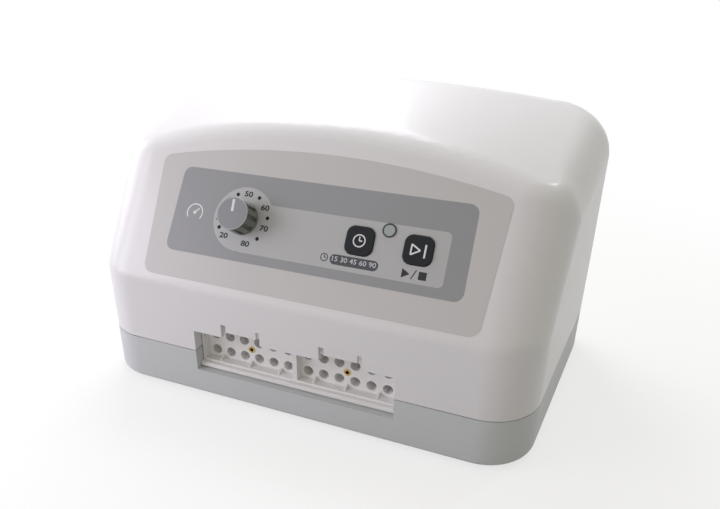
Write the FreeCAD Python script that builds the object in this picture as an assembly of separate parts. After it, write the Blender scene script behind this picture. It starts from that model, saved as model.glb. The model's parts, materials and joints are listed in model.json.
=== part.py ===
"""Compression therapy pump: a table-top air pump with a leaning control panel and two connector bays.

Millimetres.  X runs to the right as the user sees the front, Y from the front to the rear, Z up.
The origin lies on the table, below the middle of the housing.
"""
import FreeCAD, Part
import math
import os
from FreeCAD import Matrix, Placement, Vector

# ---------------------------------------------------------------- housing, driving sizes
DEPTH = 180.0                       # front wall to rear wall
FRONT_HALF_WIDTH = 137.3            # half width of the front wall, at its sharp corners
SIDE_FLARE = math.radians(7.75)     # each side wall opens out by this towards the rear
FOOT_HEIGHT = 2.0                   # the base floats this far above the table
PARTING_HEIGHT = 33.4               # line between base and upper housing
PARTING_GROOVE = 0.6                # visible groove along that line
CREASE_HEIGHT = 77.4                # the front wall turns into the leaning panel here
CREASE_ROUND = 12.0
PANEL_LEAN = math.radians(33.4)     # from the vertical
CORNER_ROUND_LOW = 32.0             # plan radius of the upright corners, at and below the crease
CORNER_ROUND_HIGH = 40.0            # and at LOFT_TOP, above the roof
LOFT_TOP = 200.0
CREST_SETBACK = 59.5                # sharp edge of panel and roof, behind the front wall
CREST_HEIGHT = 167.6
ROOF_RISE = math.radians(9.8)       # the roof climbs to the rear
ROOF_ARCH_FRONT = 350.0             # arch radius of the roof across the housing, in front
ROOF_ARCH_REAR = 2600.0             # and behind, where it is almost flat
ROOF_ROUND = 27.0                   # round all along the roof's edge
WALL = 3.0
BASE_EDGE_ROUND = 3.5
TONGUE = 1.2                        # thickness of the base's tongue inside the upper wall
TONGUE_HEIGHT = 3.0
FIT = 0.2                           # gap between a moulded part and the recess that it sits in

# ---------------------------------------------------------------- control panel
PANEL_SHIFT = 3.8                   # the controls are centred this far right of the housing's middle
OVERLAY_BOTTOM = 4.5                # distances up the panel are taken from the crease
OVERLAY_CROWN = 90.5
OVERLAY_ARCH = 505.0                # radius of the overlay's upper edge
OVERLAY_HALF_WIDTH = 102.4          # at its lower edge
OVERLAY_SIDE_SLOPE = 0.0778
OVERLAY_CORNER_LOW = 6.5
OVERLAY_CORNER_HIGH = 5.5
OVERLAY_THICKNESS = 0.7
OVERLAY_PROUD = 0.1

KNOB_AT = (-43.85, 45.75)           # right of the panel's middle, up the panel
KNOB_RADIUS = 9.3                   # just under the cap
KNOB_TAPER = 0.5                    # the knob is wider at its foot by this
KNOB_HEIGHT = 13.6
KNOB_SKIRT_RADIUS = 10.4
KNOB_SKIRT = 1.2
KNOB_LIFT = 0.6                     # gap between knob and overlay
KNOB_FLUTES = 10
KNOB_FLUTE_RADIUS = 2.1
KNOB_FLUTE_DEPTH = 0.9
KNOB_CAP_RADIUS = 9.2
KNOB_CAP_THICKNESS = 1.1
KNOB_CAP_PLUG = (5.5, 1.6)          # radius and length of the cap's plug
POINTER_START = 1.1
POINTER_LENGTH = 8.2
POINTER_WIDTH = 1.6
POINTER_DEPTH = 0.5
POINTER_ANGLE = 94.0                # where the pointer stands at rest, in degrees from the right

KEY_SIZE = 16.4
KEY_CORNER = 4.8
KEY_PROUD = 1.2
KEY_GAP = 0.25
KEY_FLANGE = 1.0                    # the hidden flange is wider than the cap by this, all round
KEY_FLANGE_THICKNESS = 1.4
KEY_STEM_RADIUS = 2.0
TIME_KEY_AT = (29.9, 44.1)
START_KEY_AT = (63.3, 44.1)
INDICATOR_AT = (45.4, 52.0)
INDICATOR_RADIUS = 3.6
TIMER_STRIP_AT = (29.0, 31.5)
TIMER_STRIP_LENGTH = 28.1
TIMER_STRIP_HEIGHT = 5.6
TIMER_STEPS = 5

BOARD_DROP = 14.0                   # board's front face behind the panel's outer face
BOARD_THICKNESS = 1.6
BOARD_CENTRE = (34.0, 40.0)
BOARD_SIZE = (108.0, 52.0)
BOARD_HOLE_INSET = 5.0
BOARD_POST_RADIUS = 3.5
BOARD_SCREW_RADIUS = 1.3
BOARD_SCREW_HEAD = 2.7
BOARD_BLOCKS = ((-30.5, -1.0, 19.0, 16.0, 15.0), (2.0, 0.0, 20.0, 10.0, 2.4), (31.0, -17.0, 22.0, 6.0, 9.0))
BOARD_CAPACITORS = ((16.0, 14.0, 4.0, 12.0), (27.0, 14.0, 4.0, 12.0))
SWITCH_SIZE = 6.2
SWITCH_HEIGHT = 3.4
PLUNGER_RADIUS = 1.6
PLUNGER_RISE = 1.4                  # how far the plunger stands out of its switch

REGULATOR_RADIUS = 15.0
REGULATOR_LENGTH = 22.0
BARB_INSET = 5.0                    # of the hose barb, from the regulator's back
BUSHING_RADIUS = 4.75
BUSHING_PROUD = 3.2
SHAFT_RADIUS = 3.0
RUNNING_GAP = 0.05                  # radial gap between a shaft and its bore
NUT_ACROSS_FLATS = 12.0
NUT_HEIGHT = 2.2

# ---------------------------------------------------------------- connector bays
BAY_CENTRE = 31.9                   # left and right of the middle
PORT_COLUMNS = 6
PORT_ROWS = 2
PORT_PITCH = 10.1
PORT_ROW_PITCH = 10.9
PORT_RADIUS = 3.2
PORT_DEPTH = 8.0
PASSAGE_RADIUS = 2.0
LOWER_ROW_HEIGHT = 29.4
PORT_PLANE = 12.3                   # port plate's face, behind the front wall
RECESS_HALF_WIDTH = 64.6
RECESS_WALL = 2.0                   # of the walls that line the recess
RECESS_LOW = 19.7
RECESS_HIGH = 47.6
TRAY_RISE = 5.2                     # the frame round each bay stands this far out of the plate
TRAY_WALL = 1.4
PLATE_THICKNESS = 10.0
APRON_DEPTH = 8.2                   # sill in front of the trays
APRON_HEIGHT = 2.6
RIB_THICKNESS = 1.1
RIB_HEIGHT = 2.4                    # where a rib meets the port plate
RIB_TIP = 0.7                       # and at its front end
RIB_DEPTH = 4.4
NOTCH_HALF_WIDTH = 13.0             # notch in the housing's edge above each bay
NOTCH_HIGH = 56.4
KEYING_TAB_HALF_WIDTH = 10.4
KEYING_TAB_THICKNESS = 2.0
KEYING_TAB_SETBACK = 0.7            # behind the housing's front wall
KEYING_TAB_LOW = 50.8
INSERT_RADIUS = 2.25
INSERT_BORE = 1.25
INSERT_LENGTH = 8.0
INSERT_PROUD = 0.3

# ---------------------------------------------------------------- air path inside
MANIFOLD_DEPTH = 12.0
CHAMBER_RADIUS = 20.0
CHAMBER_WALL = 3.0
CHAMBER_DEPTH = 9.0
VALVE_HEIGHT = 40.0
VALVE_PORTS = 12
VALVE_PORT_CIRCLE = 14.0
ROTOR_THICKNESS = 6.0
ROTOR_GAP = 0.3
VALVE_SHAFT_REACH = 14.0            # of the rotor's shaft inside the gearmotor
GEARMOTOR_RADIUS = 25.0
GEARMOTOR_LENGTH = 24.0
BRACKET_POST = (28.0, 14.0, 29.0)   # under the gearmotor
BRACKET_FOOT = (44.0, 18.0, 3.0)

PUMP_AT = (-84.0, 34.0)
PUMP_BASE_HEIGHT = 17.0
PUMP_LENGTH = 62.0
PUMP_WIDTH = 56.0
PUMP_HEIGHT = 48.0
PUMP_BORE = 18.0
PUMP_HEAD = 11.0
PUMP_OUTLET_RISE = 12.0
PUMP_FIN = 2.0
PUMP_FIN_PITCH = 6.0
MAGNET_SIZE = (30.0, 20.0, 20.0)
DIAPHRAGM_GAP = 0.3
ARMATURE_SHAFT = 4.0
HOSE_RADIUS = 3.4
HOSE_BORE = 2.0
SUPPLY_HOSE_TURN = 20.0             # from the pump's outlet to the middle of the first bend
SUPPLY_HOSE_PASS = -5.0             # the hose passes the regulator here
SUPPLY_HOSE_RUN = 30.0              # straight approach to the manifold
SUPPLY_HOSE_BENDS = (10.0, 16.0, 14.0)
REGULATOR_HOSE_TURN = 17.0
REGULATOR_HOSE_RUN = 26.0
REGULATOR_HOSE_DROP = 20.0
REGULATOR_HOSE_BENDS = (9.0, 8.5, 9.0)

TRANSFORMER_AT = (96.0, 2.0)
CORE_SIZE = (54.0, 22.0, 48.0)
CORE_LIMB = 10.0                    # width of the limb inside the winding
WINDING_SIZE = (34.0, 40.0, 32.0)
BRACKET_THICKNESS = 1.5

# ---------------------------------------------------------------- rear, underside
POWER_RECESS_CENTRE = (22.0, 62.0)
POWER_RECESS_SIZE = (92.0, 30.0)
POWER_RECESS_DEPTH = 6.5
INLET_OFFSET = -18.0
INLET_FLANGE = (48.0, 24.0, 2.5)
INLET_BODY = (29.0, 21.0, 24.0)
INLET_CAVITY = (24.4, 16.6, 17.0)
INLET_CHAMFER = 4.5                 # of the cavity's two upper corners
INLET_PIN_SIZE = (2.0, 11.0, 4.0)
INLET_PINS = ((-7.0, -2.0), (7.0, -2.0), (0.0, 3.0))
INLET_SCREW_REACH = 20.0
INLET_SCREW_HEAD = (2.8, 1.6)
INLET_SCREW_DRIVE = (3.6, 0.8)
ROCKER_OFFSET = 25.0
ROCKER_BEZEL = (22.0, 26.0, 2.0)
ROCKER_WIDTH = 14.0
ROCKER_RADIUS = 8.6
ROCKER_THROW = math.radians(18.0)
ROCKER_VALLEY = 4.6                 # from the pivot to the fold between the paddle's two faces
ROCKER_PIVOT_DEPTH = 4.0            # below the bezel's face
ROCKER_PIN = (1.2, 1.4)             # radius, and reach past the paddle at each end
ROCKER_BODY = (19.0, 23.0, 18.0)
VENT_COUNT = 12
VENT_WIDTH = 3.0
VENT_PITCH = 7.0
VENT_LENGTH = 34.0
VENT_HEIGHT = 118.0
VENT_MIDDLE_GAP = 24.0              # plain wall between the two groups of slots
FOOT_RADIUS = 8.5
FOOT_SEAT = 1.2
FEET = ((105.0, -66.0), (122.0, 66.0))
BOSS_RADIUS = 6.0
CASE_BOSSES = ((122.0, -58.0), (139.0, 56.0))
BOSS_HEIGHT = 42.0                  # of the upper housing's bosses above the parting line
BOSS_WEB = 2.5                      # web that ties each upper boss to the side wall
CASE_SCREW_RADIUS = 1.8
CASE_SCREW_HEAD = 3.8
CASE_SCREW_SEAT = 10.0

FRONT = -DEPTH / 2
REAR = DEPTH / 2
BASE_FLOOR = FOOT_HEIGHT + WALL
PANEL_INNER = -WALL
BOARD_FACE = -BOARD_DROP
SWITCH_TOP = BOARD_FACE + SWITCH_HEIGHT
STEM_END = SWITCH_TOP + PLUNGER_RISE
PLATE_FACE = FRONT + PORT_PLANE
PLATE_BACK = PLATE_FACE + PLATE_THICKNESS
MANIFOLD_BACK = PLATE_BACK + MANIFOLD_DEPTH
KNOB_TOP = KNOB_LIFT + KNOB_HEIGHT
STEM_TOP = KNOB_TOP - KNOB_CAP_THICKNESS - KNOB_CAP_PLUG[1] - 1.0
REGULATOR_INLET = KNOB_AT[0] + PANEL_SHIFT
SUPPLY_INLET = REGULATOR_INLET - 14.0
POCKET_FLOOR = REAR - POWER_RECESS_DEPTH
APRON_LOW = RECESS_LOW + 0.8
TRAY_LOW = APRON_LOW + APRON_HEIGHT
TRAY_HIGH = RECESS_HIGH + 1.6
CHAMBER_BACK = MANIFOLD_BACK + CHAMBER_DEPTH
ROWS_MIDDLE = LOWER_ROW_HEIGHT + PORT_ROW_PITCH * (PORT_ROWS - 1) / 2


# ---------------------------------------------------------------- small helpers
def box(low, high):
    size = [b - a for a, b in zip(low, high)]
    return Part.makeBox(size[0], size[1], size[2], Vector(*low))


def box_at(centre, size):
    low = [c - s / 2 for c, s in zip(centre, size)]
    return Part.makeBox(size[0], size[1], size[2], Vector(*low))


def rod(radius, start, end):
    axis = Vector(*end) - Vector(*start)
    return Part.makeCylinder(radius, axis.Length, Vector(*start), axis)


def tube(outer, inner, start, end):
    return rod(outer, start, end).cut(rod(inner, start, end))


def rounded_plate(centre, size, corner, low, high):
    """Rectangle with round corners in the XY plane, from height low to high."""
    half_x, half_y = size[0] / 2, size[1] / 2
    plate = box((centre[0] - half_x, centre[1] - half_y, low), (centre[0] + half_x, centre[1] + half_y, high))
    uprights = [e for e in plate.Edges if abs(e.tangentAt(e.FirstParameter).z) > 0.9]
    return plate.makeFillet(corner, uprights)


def polygon_prism(points, direction):
    wire = Part.makePolygon([Vector(*p) for p in points] + [Vector(*points[0])])
    return Part.Face(wire).extrude(Vector(*direction))


def save(name, shape):
    if shape.ShapeType == "Compound" and len(shape.Solids) == 1:
        shape = shape.Solids[0]
    shape.exportStep("parts/%s.step" % name)


def panel_placement():
    """Local X, Y, Z become right, up the panel and out of the panel."""
    up = (0, math.sin(PANEL_LEAN), math.cos(PANEL_LEAN))
    out = (0, -math.cos(PANEL_LEAN), math.sin(PANEL_LEAN))
    return Placement(Matrix(1, up[0], out[0], PANEL_SHIFT,
                            0, up[1], out[1], FRONT,
                            0, up[2], out[2], CREASE_HEIGHT,
                            0, 0, 0, 1))


def on_panel(shape):
    placed = shape.copy()
    placed.Placement = panel_placement().multiply(placed.Placement)
    return placed


def panel_point(x, up, out):
    return panel_placement().multVec(Vector(x, up, out))


# ---------------------------------------------------------------- outer form of the housing
def plan_outline(height, front, inset, corner_round):
    """Rounded trapezoid at one height, its front line set back from the front wall by front."""
    half = FRONT_HALF_WIDTH - inset / math.cos(SIDE_FLARE)
    rear = DEPTH - inset
    radius = corner_round - inset

    def centre(y):
        return half + y * math.tan(SIDE_FLARE) - radius / math.cos(SIDE_FLARE), y

    def on_round(middle, angle):
        return middle[0] + radius * math.cos(angle), middle[1] + radius * math.sin(angle)

    front_centre = centre(front + radius)
    rear_centre = centre(rear - radius)
    upright = math.pi / 2
    points = [(front_centre[0], front),
              on_round(front_centre, -(upright + SIDE_FLARE) / 2),
              on_round(front_centre, -SIDE_FLARE),
              on_round(rear_centre, -SIDE_FLARE),
              on_round(rear_centre, (upright - SIDE_FLARE) / 2),
              (rear_centre[0], rear)]
    right = [Vector(x, FRONT + y, height) for x, y in points]
    left = [Vector(-x, FRONT + y, height) for x, y in points]

    def line(a, b):
        return Part.LineSegment(a, b).toShape()

    edges = [line(left[0], right[0]), Part.Arc(*right[0:3]).toShape(), line(right[2], right[3]),
             Part.Arc(*right[3:6]).toShape(), line(right[5], left[5]), Part.Arc(*left[5:2:-1]).toShape(),
             line(left[3], left[2]), Part.Arc(*left[2::-1]).toShape()]
    return Part.Wire(edges)


def low_outline(height, front, inset):
    return plan_outline(height, front, inset, CORNER_ROUND_LOW)


def roof_cutter(inset):
    """Everything above the roof: its arch flattens towards the rear while it climbs."""
    beyond = 10.0
    half = FRONT_HALF_WIDTH + DEPTH * math.tan(SIDE_FLARE) + beyond
    ceiling = LOFT_TOP + 6 * beyond
    wires = []
    for y, arch in ((-beyond, ROOF_ARCH_FRONT), (DEPTH + beyond, ROOF_ARCH_REAR)):
        crown = CREST_HEIGHT + (y - CREST_SETBACK) * math.tan(ROOF_RISE) - inset
        drop = arch - math.sqrt(arch * arch - half * half)
        left = Vector(-half, FRONT + y, crown - drop)
        right = Vector(half, FRONT + y, crown - drop)
        arc = Part.Arc(left, Vector(0, FRONT + y, crown), right).toShape()
        corners = [right, Vector(half, FRONT + y, ceiling), Vector(-half, FRONT + y, ceiling), left]
        wires.append(Part.Wire([arc] + Part.makePolygon(corners).Edges))
    return Part.makeLoft(wires, True, True)


def roof_edges(body):
    """Edges of the one face that looks up."""
    for face in body.Faces:
        u0, u1, v0, v1 = face.ParameterRange
        if face.normalAt((u0 + u1) / 2, (v0 + v1) / 2).z > 0.9 and face.CenterOfMass.z > CREASE_HEIGHT:
            return face.Edges


def housing_form(inset, low):
    """The housing's closed form from height low upwards, with every face moved in by inset."""
    turn = CREASE_HEIGHT - CREASE_ROUND * math.tan(PANEL_LEAN / 2)
    radius = CREASE_ROUND - inset
    band = Part.makeLoft([low_outline(low, inset, inset), low_outline(turn, inset, inset)], True, True)
    steps = 6
    crease = []
    for step in range(steps + 1):
        angle = PANEL_LEAN * step / steps
        setback = CREASE_ROUND - radius * math.cos(angle)
        crease.append(low_outline(turn + radius * math.sin(angle), setback, inset))
    soft_band = Part.makeLoft(crease, True, False)
    start = turn + radius * math.sin(PANEL_LEAN)

    def panel_setback(height):
        return inset / math.cos(PANEL_LEAN) + (height - CREASE_HEIGHT) * math.tan(PANEL_LEAN)

    top = plan_outline(LOFT_TOP, panel_setback(LOFT_TOP), inset, CORNER_ROUND_HIGH)
    leaning = Part.makeLoft([low_outline(start, panel_setback(start), inset), top], True, True)
    body = band.fuse([soft_band, leaning]).removeSplitter().cut(roof_cutter(inset))
    return body.makeFillet(ROOF_ROUND - inset, roof_edges(body))


def plan_prism(inset, low, high):
    face = Part.Face(low_outline(low, inset, inset))
    return face.extrude(Vector(0, 0, high - low))


# ---------------------------------------------------------------- shapes shared by neighbours
def overlay_plate(grow, low, high):
    """Overlay outline, widened by grow, as a plate in panel coordinates."""
    bottom = OVERLAY_BOTTOM - grow
    crown = OVERLAY_CROWN + grow
    arch = OVERLAY_ARCH + grow

    def half_width(up):
        return OVERLAY_HALF_WIDTH + grow + OVERLAY_SIDE_SLOPE * (up - OVERLAY_BOTTOM)

    side_top = crown - arch + math.sqrt(arch ** 2 - half_width(crown) ** 2)
    reach = half_width(side_top)
    left_low = Vector(-half_width(bottom), bottom, low)
    right_low = Vector(half_width(bottom), bottom, low)
    arc = Part.Arc(Vector(reach, side_top, low), Vector(0, crown, low), Vector(-reach, side_top, low))
    edges = [Part.LineSegment(left_low, right_low).toShape(),
             Part.LineSegment(right_low, Vector(reach, side_top, low)).toShape(),
             arc.toShape(),
             Part.LineSegment(Vector(-reach, side_top, low), left_low).toShape()]
    plate = Part.Face(Part.Wire(edges)).extrude(Vector(0, 0, high - low))
    uprights = [e for e in plate.Edges if abs(e.tangentAt(e.FirstParameter).z) > 0.9]
    lower = [e for e in uprights if e.CenterOfMass.y < crown / 2]
    plate = plate.makeFillet(OVERLAY_CORNER_LOW + grow, lower)
    uprights = [e for e in plate.Edges if abs(e.tangentAt(e.FirstParameter).z) > 0.9]
    upper = [e for e in uprights if e.CenterOfMass.y > crown / 2 and abs(e.CenterOfMass.x) > reach - 1]
    return plate.makeFillet(OVERLAY_CORNER_HIGH + grow, upper)


def control_apertures(low, high):
    """Holes for bushing, keys, indicator and timer strip, in panel coordinates."""
    holes = [rod(BUSHING_RADIUS + FIT, (*KNOB_AT, low), (*KNOB_AT, high)),
             rod(INDICATOR_RADIUS + FIT, (*INDICATOR_AT, low), (*INDICATOR_AT, high))]
    for key in (TIME_KEY_AT, START_KEY_AT):
        side = KEY_SIZE + 2 * KEY_GAP
        holes.append(rounded_plate(key, (side, side), KEY_CORNER + KEY_GAP, low, high))
    size = (TIMER_STRIP_LENGTH + 2 * FIT, TIMER_STRIP_HEIGHT + 2 * FIT)
    holes.append(rounded_plate(TIMER_STRIP_AT, size, size[1] / 2 - 0.01, low, high))
    return holes


def board_corners():
    for x_side in (-1, 1):
        for y_side in (-1, 1):
            yield (BOARD_CENTRE[0] + x_side * (BOARD_SIZE[0] / 2 - BOARD_HOLE_INSET),
                   BOARD_CENTRE[1] + y_side * (BOARD_SIZE[1] / 2 - BOARD_HOLE_INSET))


def mirrored(points):
    for x, y in points:
        yield -x, y
        yield x, y


def port_centres():
    for side in (-1, 1):
        for column in range(PORT_COLUMNS):
            x = side * BAY_CENTRE + (column - (PORT_COLUMNS - 1) / 2) * PORT_PITCH
            for row in range(PORT_ROWS):
                yield x, LOWER_ROW_HEIGHT + row * PORT_ROW_PITCH


# ---------------------------------------------------------------- housings
def recess_cutters():
    """Front recess for the connector bays and the notch above each bay."""
    ahead, behind = FRONT - 1, FRONT + WALL + 1
    cutters = [box((-RECESS_HALF_WIDTH, ahead, RECESS_LOW), (RECESS_HALF_WIDTH, behind, RECESS_HIGH))]
    for side in (-1, 1):
        x = side * BAY_CENTRE
        cutters.append(box((x - NOTCH_HALF_WIDTH, ahead, RECESS_HIGH - 1),
                           (x + NOTCH_HALF_WIDTH, behind, NOTCH_HIGH)))
    return cutters


def recess_walls(low, high):
    """Side walls that line the recess, back to the port block, between two heights."""
    walls = []
    back = PLATE_FACE - TRAY_RISE - FIT
    for side in (-1, 1):
        inner = side * RECESS_HALF_WIDTH
        outer = side * (RECESS_HALF_WIDTH + RECESS_WALL)
        walls.append(box((min(inner, outer), FRONT + WALL / 2, low), (max(inner, outer), back, high)))
    return walls


def upper_housing():
    outer = housing_form(0.0, PARTING_HEIGHT + PARTING_GROOVE / 2)
    inner = housing_form(WALL, PARTING_HEIGHT - WALL)
    shell = outer.cut(inner)
    ceiling = PARTING_HEIGHT + TONGUE_HEIGHT
    shell = shell.cut(plan_prism(WALL - TONGUE - FIT, PARTING_HEIGHT - 1, ceiling))
    boss_low = PARTING_HEIGHT + PARTING_GROOVE / 2
    boss_high = boss_low + BOSS_HEIGHT
    additions = recess_walls(boss_low, RECESS_HIGH)
    for x, y in mirrored(CASE_BOSSES):
        boss = rod(BOSS_RADIUS, (x, y, boss_low), (x, y, boss_high))
        ends = sorted((x, x + math.copysign(3 * BOSS_RADIUS + WALL, x)))
        web = box((ends[0], y - BOSS_WEB / 2, ceiling + FIT), (ends[1], y + BOSS_WEB / 2, boss_high))
        pilot = rod(CASE_SCREW_RADIUS + RUNNING_GAP, (x, y, boss_low - 1), (x, y, boss_high - 4))
        additions.append(boss.fuse(web).common(outer).cut(pilot))
    for corner in board_corners():
        post = rod(BOARD_POST_RADIUS, (*corner, BOARD_FACE), (*corner, PANEL_INNER / 2))
        pilot = rod(BOARD_SCREW_RADIUS + RUNNING_GAP, (*corner, BOARD_FACE - 1), (*corner, PANEL_INNER - 2))
        additions.append(on_panel(post.cut(pilot)))
    additions.append(power_pocket_walls().common(outer))
    shell = shell.fuse(additions)
    cutters = recess_cutters() + [power_pocket()] + vent_slots()
    cutters.append(on_panel(overlay_plate(FIT, -OVERLAY_THICKNESS + OVERLAY_PROUD, 2.0)))
    cutters += [on_panel(hole) for hole in control_apertures(PANEL_INNER - 1, 1.0)]
    cutters += power_cutouts()
    return shell.cut(cutters).removeSplitter()


def base_housing():
    top = PARTING_HEIGHT - PARTING_GROOVE / 2
    block = plan_prism(0.0, FOOT_HEIGHT, top)
    rim = [e for e in block.Edges if abs(e.CenterOfMass.z - FOOT_HEIGHT) < 0.01]
    block = block.makeFillet(BASE_EDGE_ROUND, rim)
    tray = block.cut(plan_prism(WALL, BASE_FLOOR, top + 1))
    tongue = plan_prism(WALL - TONGUE, top - 4, PARTING_HEIGHT + TONGUE_HEIGHT)
    half = RECESS_HALF_WIDTH + RECESS_WALL
    free = box((-half - FIT, FRONT, top), (half + FIT, FRONT + 2 * WALL, PARTING_HEIGHT + 2 * TONGUE_HEIGHT))
    tongue = tongue.cut([plan_prism(WALL, top - 5, PARTING_HEIGHT + TONGUE_HEIGHT + 1), free])
    additions = [tongue] + recess_walls(RECESS_LOW, top)
    sill_back = PLATE_FACE - APRON_DEPTH - FIT
    sill = box((-half, FRONT + WALL / 2, RECESS_LOW - RECESS_WALL), (half, sill_back, RECESS_LOW))
    shelf = box((-half, sill_back, BASE_FLOOR - 1), (half, sill_back + RECESS_WALL, RECESS_LOW))
    additions += [sill, shelf.cut(port_block_envelope(FIT))]
    for x, y in mirrored(CASE_BOSSES):
        additions.append(rod(BOSS_RADIUS, (x, y, FOOT_HEIGHT + 1), (x, y, top + PARTING_GROOVE)))
    tray = tray.fuse(additions)
    cutters = recess_cutters()
    for x, y in mirrored(CASE_BOSSES):
        cutters.append(rod(CASE_SCREW_HEAD + 0.4, (x, y, FOOT_HEIGHT - 1), (x, y, CASE_SCREW_SEAT)))
        cutters.append(rod(CASE_SCREW_RADIUS + FIT, (x, y, CASE_SCREW_SEAT - 1), (x, y, PARTING_HEIGHT + 2)))
    for x, y in mirrored(FEET):
        cutters.append(rod(FOOT_RADIUS + FIT, (x, y, FOOT_HEIGHT - 1), (x, y, FOOT_HEIGHT + FOOT_SEAT)))
    for index in range(VENT_COUNT):
        x = PUMP_AT[0] + (index - (VENT_COUNT - 1) / 2) * VENT_PITCH
        cutters.append(box_at((x, -34.0, FOOT_HEIGHT + WALL / 2), (VENT_WIDTH, VENT_LENGTH, 2 * WALL)))
    return tray.cut(cutters).removeSplitter()


def feet():
    pads = []
    for x, y in mirrored(FEET):
        pad = rod(FOOT_RADIUS, (x, y, 0), (x, y, FOOT_HEIGHT + FOOT_SEAT))
        rim = [e for e in pad.Edges if abs(e.CenterOfMass.z) < 0.01 and e.Length > 10]
        pads.append(pad.makeChamfer(0.8, rim))
    return Part.Compound(pads)


def case_screws():
    screws = []
    for x, y in mirrored(CASE_BOSSES):
        head = rod(CASE_SCREW_HEAD, (x, y, CASE_SCREW_SEAT - 2.6), (x, y, CASE_SCREW_SEAT))
        shank = rod(CASE_SCREW_RADIUS, (x, y, CASE_SCREW_SEAT), (x, y, PARTING_HEIGHT + 20))
        drive = box_at((x, y, CASE_SCREW_SEAT - 2.6), (4.6, 1.0, 2.4))
        cross = box_at((x, y, CASE_SCREW_SEAT - 2.6), (1.0, 4.6, 2.4))
        screws.append(head.fuse(shank).cut([drive, cross]))
    return Part.Compound(screws)


# ---------------------------------------------------------------- control panel parts
def control_overlay():
    film = overlay_plate(0.0, OVERLAY_PROUD - OVERLAY_THICKNESS, OVERLAY_PROUD)
    return on_panel(film.cut(control_apertures(-2.0, 2.0)))


def pressure_knob():
    centre = Vector(*KNOB_AT, 0)
    low, top = KNOB_LIFT, KNOB_TOP - KNOB_CAP_THICKNESS
    foot = KNOB_RADIUS + KNOB_TAPER
    profile = [(0, low), (KNOB_SKIRT_RADIUS, low), (KNOB_SKIRT_RADIUS, low + KNOB_SKIRT / 2),
               (foot, low + KNOB_SKIRT), (KNOB_RADIUS, top), (0, top)]
    wire = Part.makePolygon([centre + Vector(r, 0, z) for r, z in profile + profile[:1]])
    body = Part.Face(wire).revolve(centre, Vector(0, 0, 1), 360)
    circle = KNOB_RADIUS + KNOB_FLUTE_RADIUS - KNOB_FLUTE_DEPTH
    flutes = []
    for index in range(KNOB_FLUTES):
        angle = 2 * math.pi * index / KNOB_FLUTES
        x = KNOB_AT[0] + circle * math.cos(angle)
        y = KNOB_AT[1] + circle * math.sin(angle)
        flutes.append(rod(KNOB_FLUTE_RADIUS, (x, y, low + KNOB_SKIRT), (x, y, top + 1)))
    nut_room = rod(NUT_ACROSS_FLATS * 0.62, (*KNOB_AT, low - 1), (*KNOB_AT, BUSHING_PROUD + 1))
    bore = rod(SHAFT_RADIUS + RUNNING_GAP, (*KNOB_AT, low), (*KNOB_AT, STEM_TOP + FIT))
    socket_floor = top - KNOB_CAP_PLUG[1] - RUNNING_GAP
    socket = rod(KNOB_CAP_PLUG[0] + RUNNING_GAP, (*KNOB_AT, socket_floor), (*KNOB_AT, top + 1))
    return on_panel(body.cut(flutes + [nut_room, bore, socket]))


def pointer_bar(grow, low, high):
    half = POINTER_WIDTH / 2 + grow
    bar = box((POINTER_START - grow, -half, low), (POINTER_LENGTH + grow, half, high))
    bar.rotate(Vector(0, 0, 0), Vector(0, 0, 1), POINTER_ANGLE)
    bar.translate(Vector(*KNOB_AT, 0))
    return bar


def knob_cap():
    seat = KNOB_TOP - KNOB_CAP_THICKNESS
    disc = rod(KNOB_CAP_RADIUS, (*KNOB_AT, seat), (*KNOB_AT, KNOB_TOP))
    rim = [e for e in disc.Edges if abs(e.CenterOfMass.z - KNOB_TOP) < 0.01 and e.Length > 10]
    plug = rod(KNOB_CAP_PLUG[0], (*KNOB_AT, seat - KNOB_CAP_PLUG[1]), (*KNOB_AT, seat))
    groove = pointer_bar(RUNNING_GAP, KNOB_TOP - POINTER_DEPTH, KNOB_TOP + 1)
    return on_panel(disc.makeFillet(0.4, rim).fuse(plug).cut(groove))


def knob_pointer():
    return on_panel(pointer_bar(0.0, KNOB_TOP - POINTER_DEPTH, KNOB_TOP))


def regulator_stem():
    low = PANEL_INNER - REGULATOR_LENGTH + 5
    return on_panel(rod(SHAFT_RADIUS, (*KNOB_AT, low), (*KNOB_AT, STEM_TOP)))


def pressure_regulator():
    back = PANEL_INNER - REGULATOR_LENGTH
    body = rod(REGULATOR_RADIUS, (*KNOB_AT, back), (*KNOB_AT, PANEL_INNER))
    rim = [e for e in body.Edges if abs(e.CenterOfMass.z - back) < 0.01 and e.Length > 10]
    body = body.makeFillet(2.0, rim)
    waist = tube(REGULATOR_RADIUS + 1, REGULATOR_RADIUS - 1.5, (*KNOB_AT, back + 8), (*KNOB_AT, back + 12))
    bushing = rod(BUSHING_RADIUS, (*KNOB_AT, PANEL_INNER - 1), (*KNOB_AT, BUSHING_PROUD))
    bore = rod(SHAFT_RADIUS + RUNNING_GAP, (*KNOB_AT, back + 4.5), (*KNOB_AT, BUSHING_PROUD + 1))
    barb_start = (KNOB_AT[0], KNOB_AT[1] - REGULATOR_RADIUS + 1, back + BARB_INSET)
    barb = rod(HOSE_BORE, barb_start, (barb_start[0], barb_start[1] - 9, barb_start[2]))
    return on_panel(body.cut(waist).fuse([bushing, barb]).cut(bore))


def regulator_nut():
    low = OVERLAY_PROUD
    x, y = KNOB_AT
    radius = NUT_ACROSS_FLATS / 2 / math.cos(math.pi / 6)
    angles = [math.pi / 3 * side for side in range(6)]
    corners = [(x + radius * math.cos(angle), y + radius * math.sin(angle), low) for angle in angles]
    nut = polygon_prism(corners, (0, 0, NUT_HEIGHT))
    return on_panel(nut.cut(rod(BUSHING_RADIUS + RUNNING_GAP, (x, y, low - 1), (x, y, low + NUT_HEIGHT + 1))))


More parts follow.
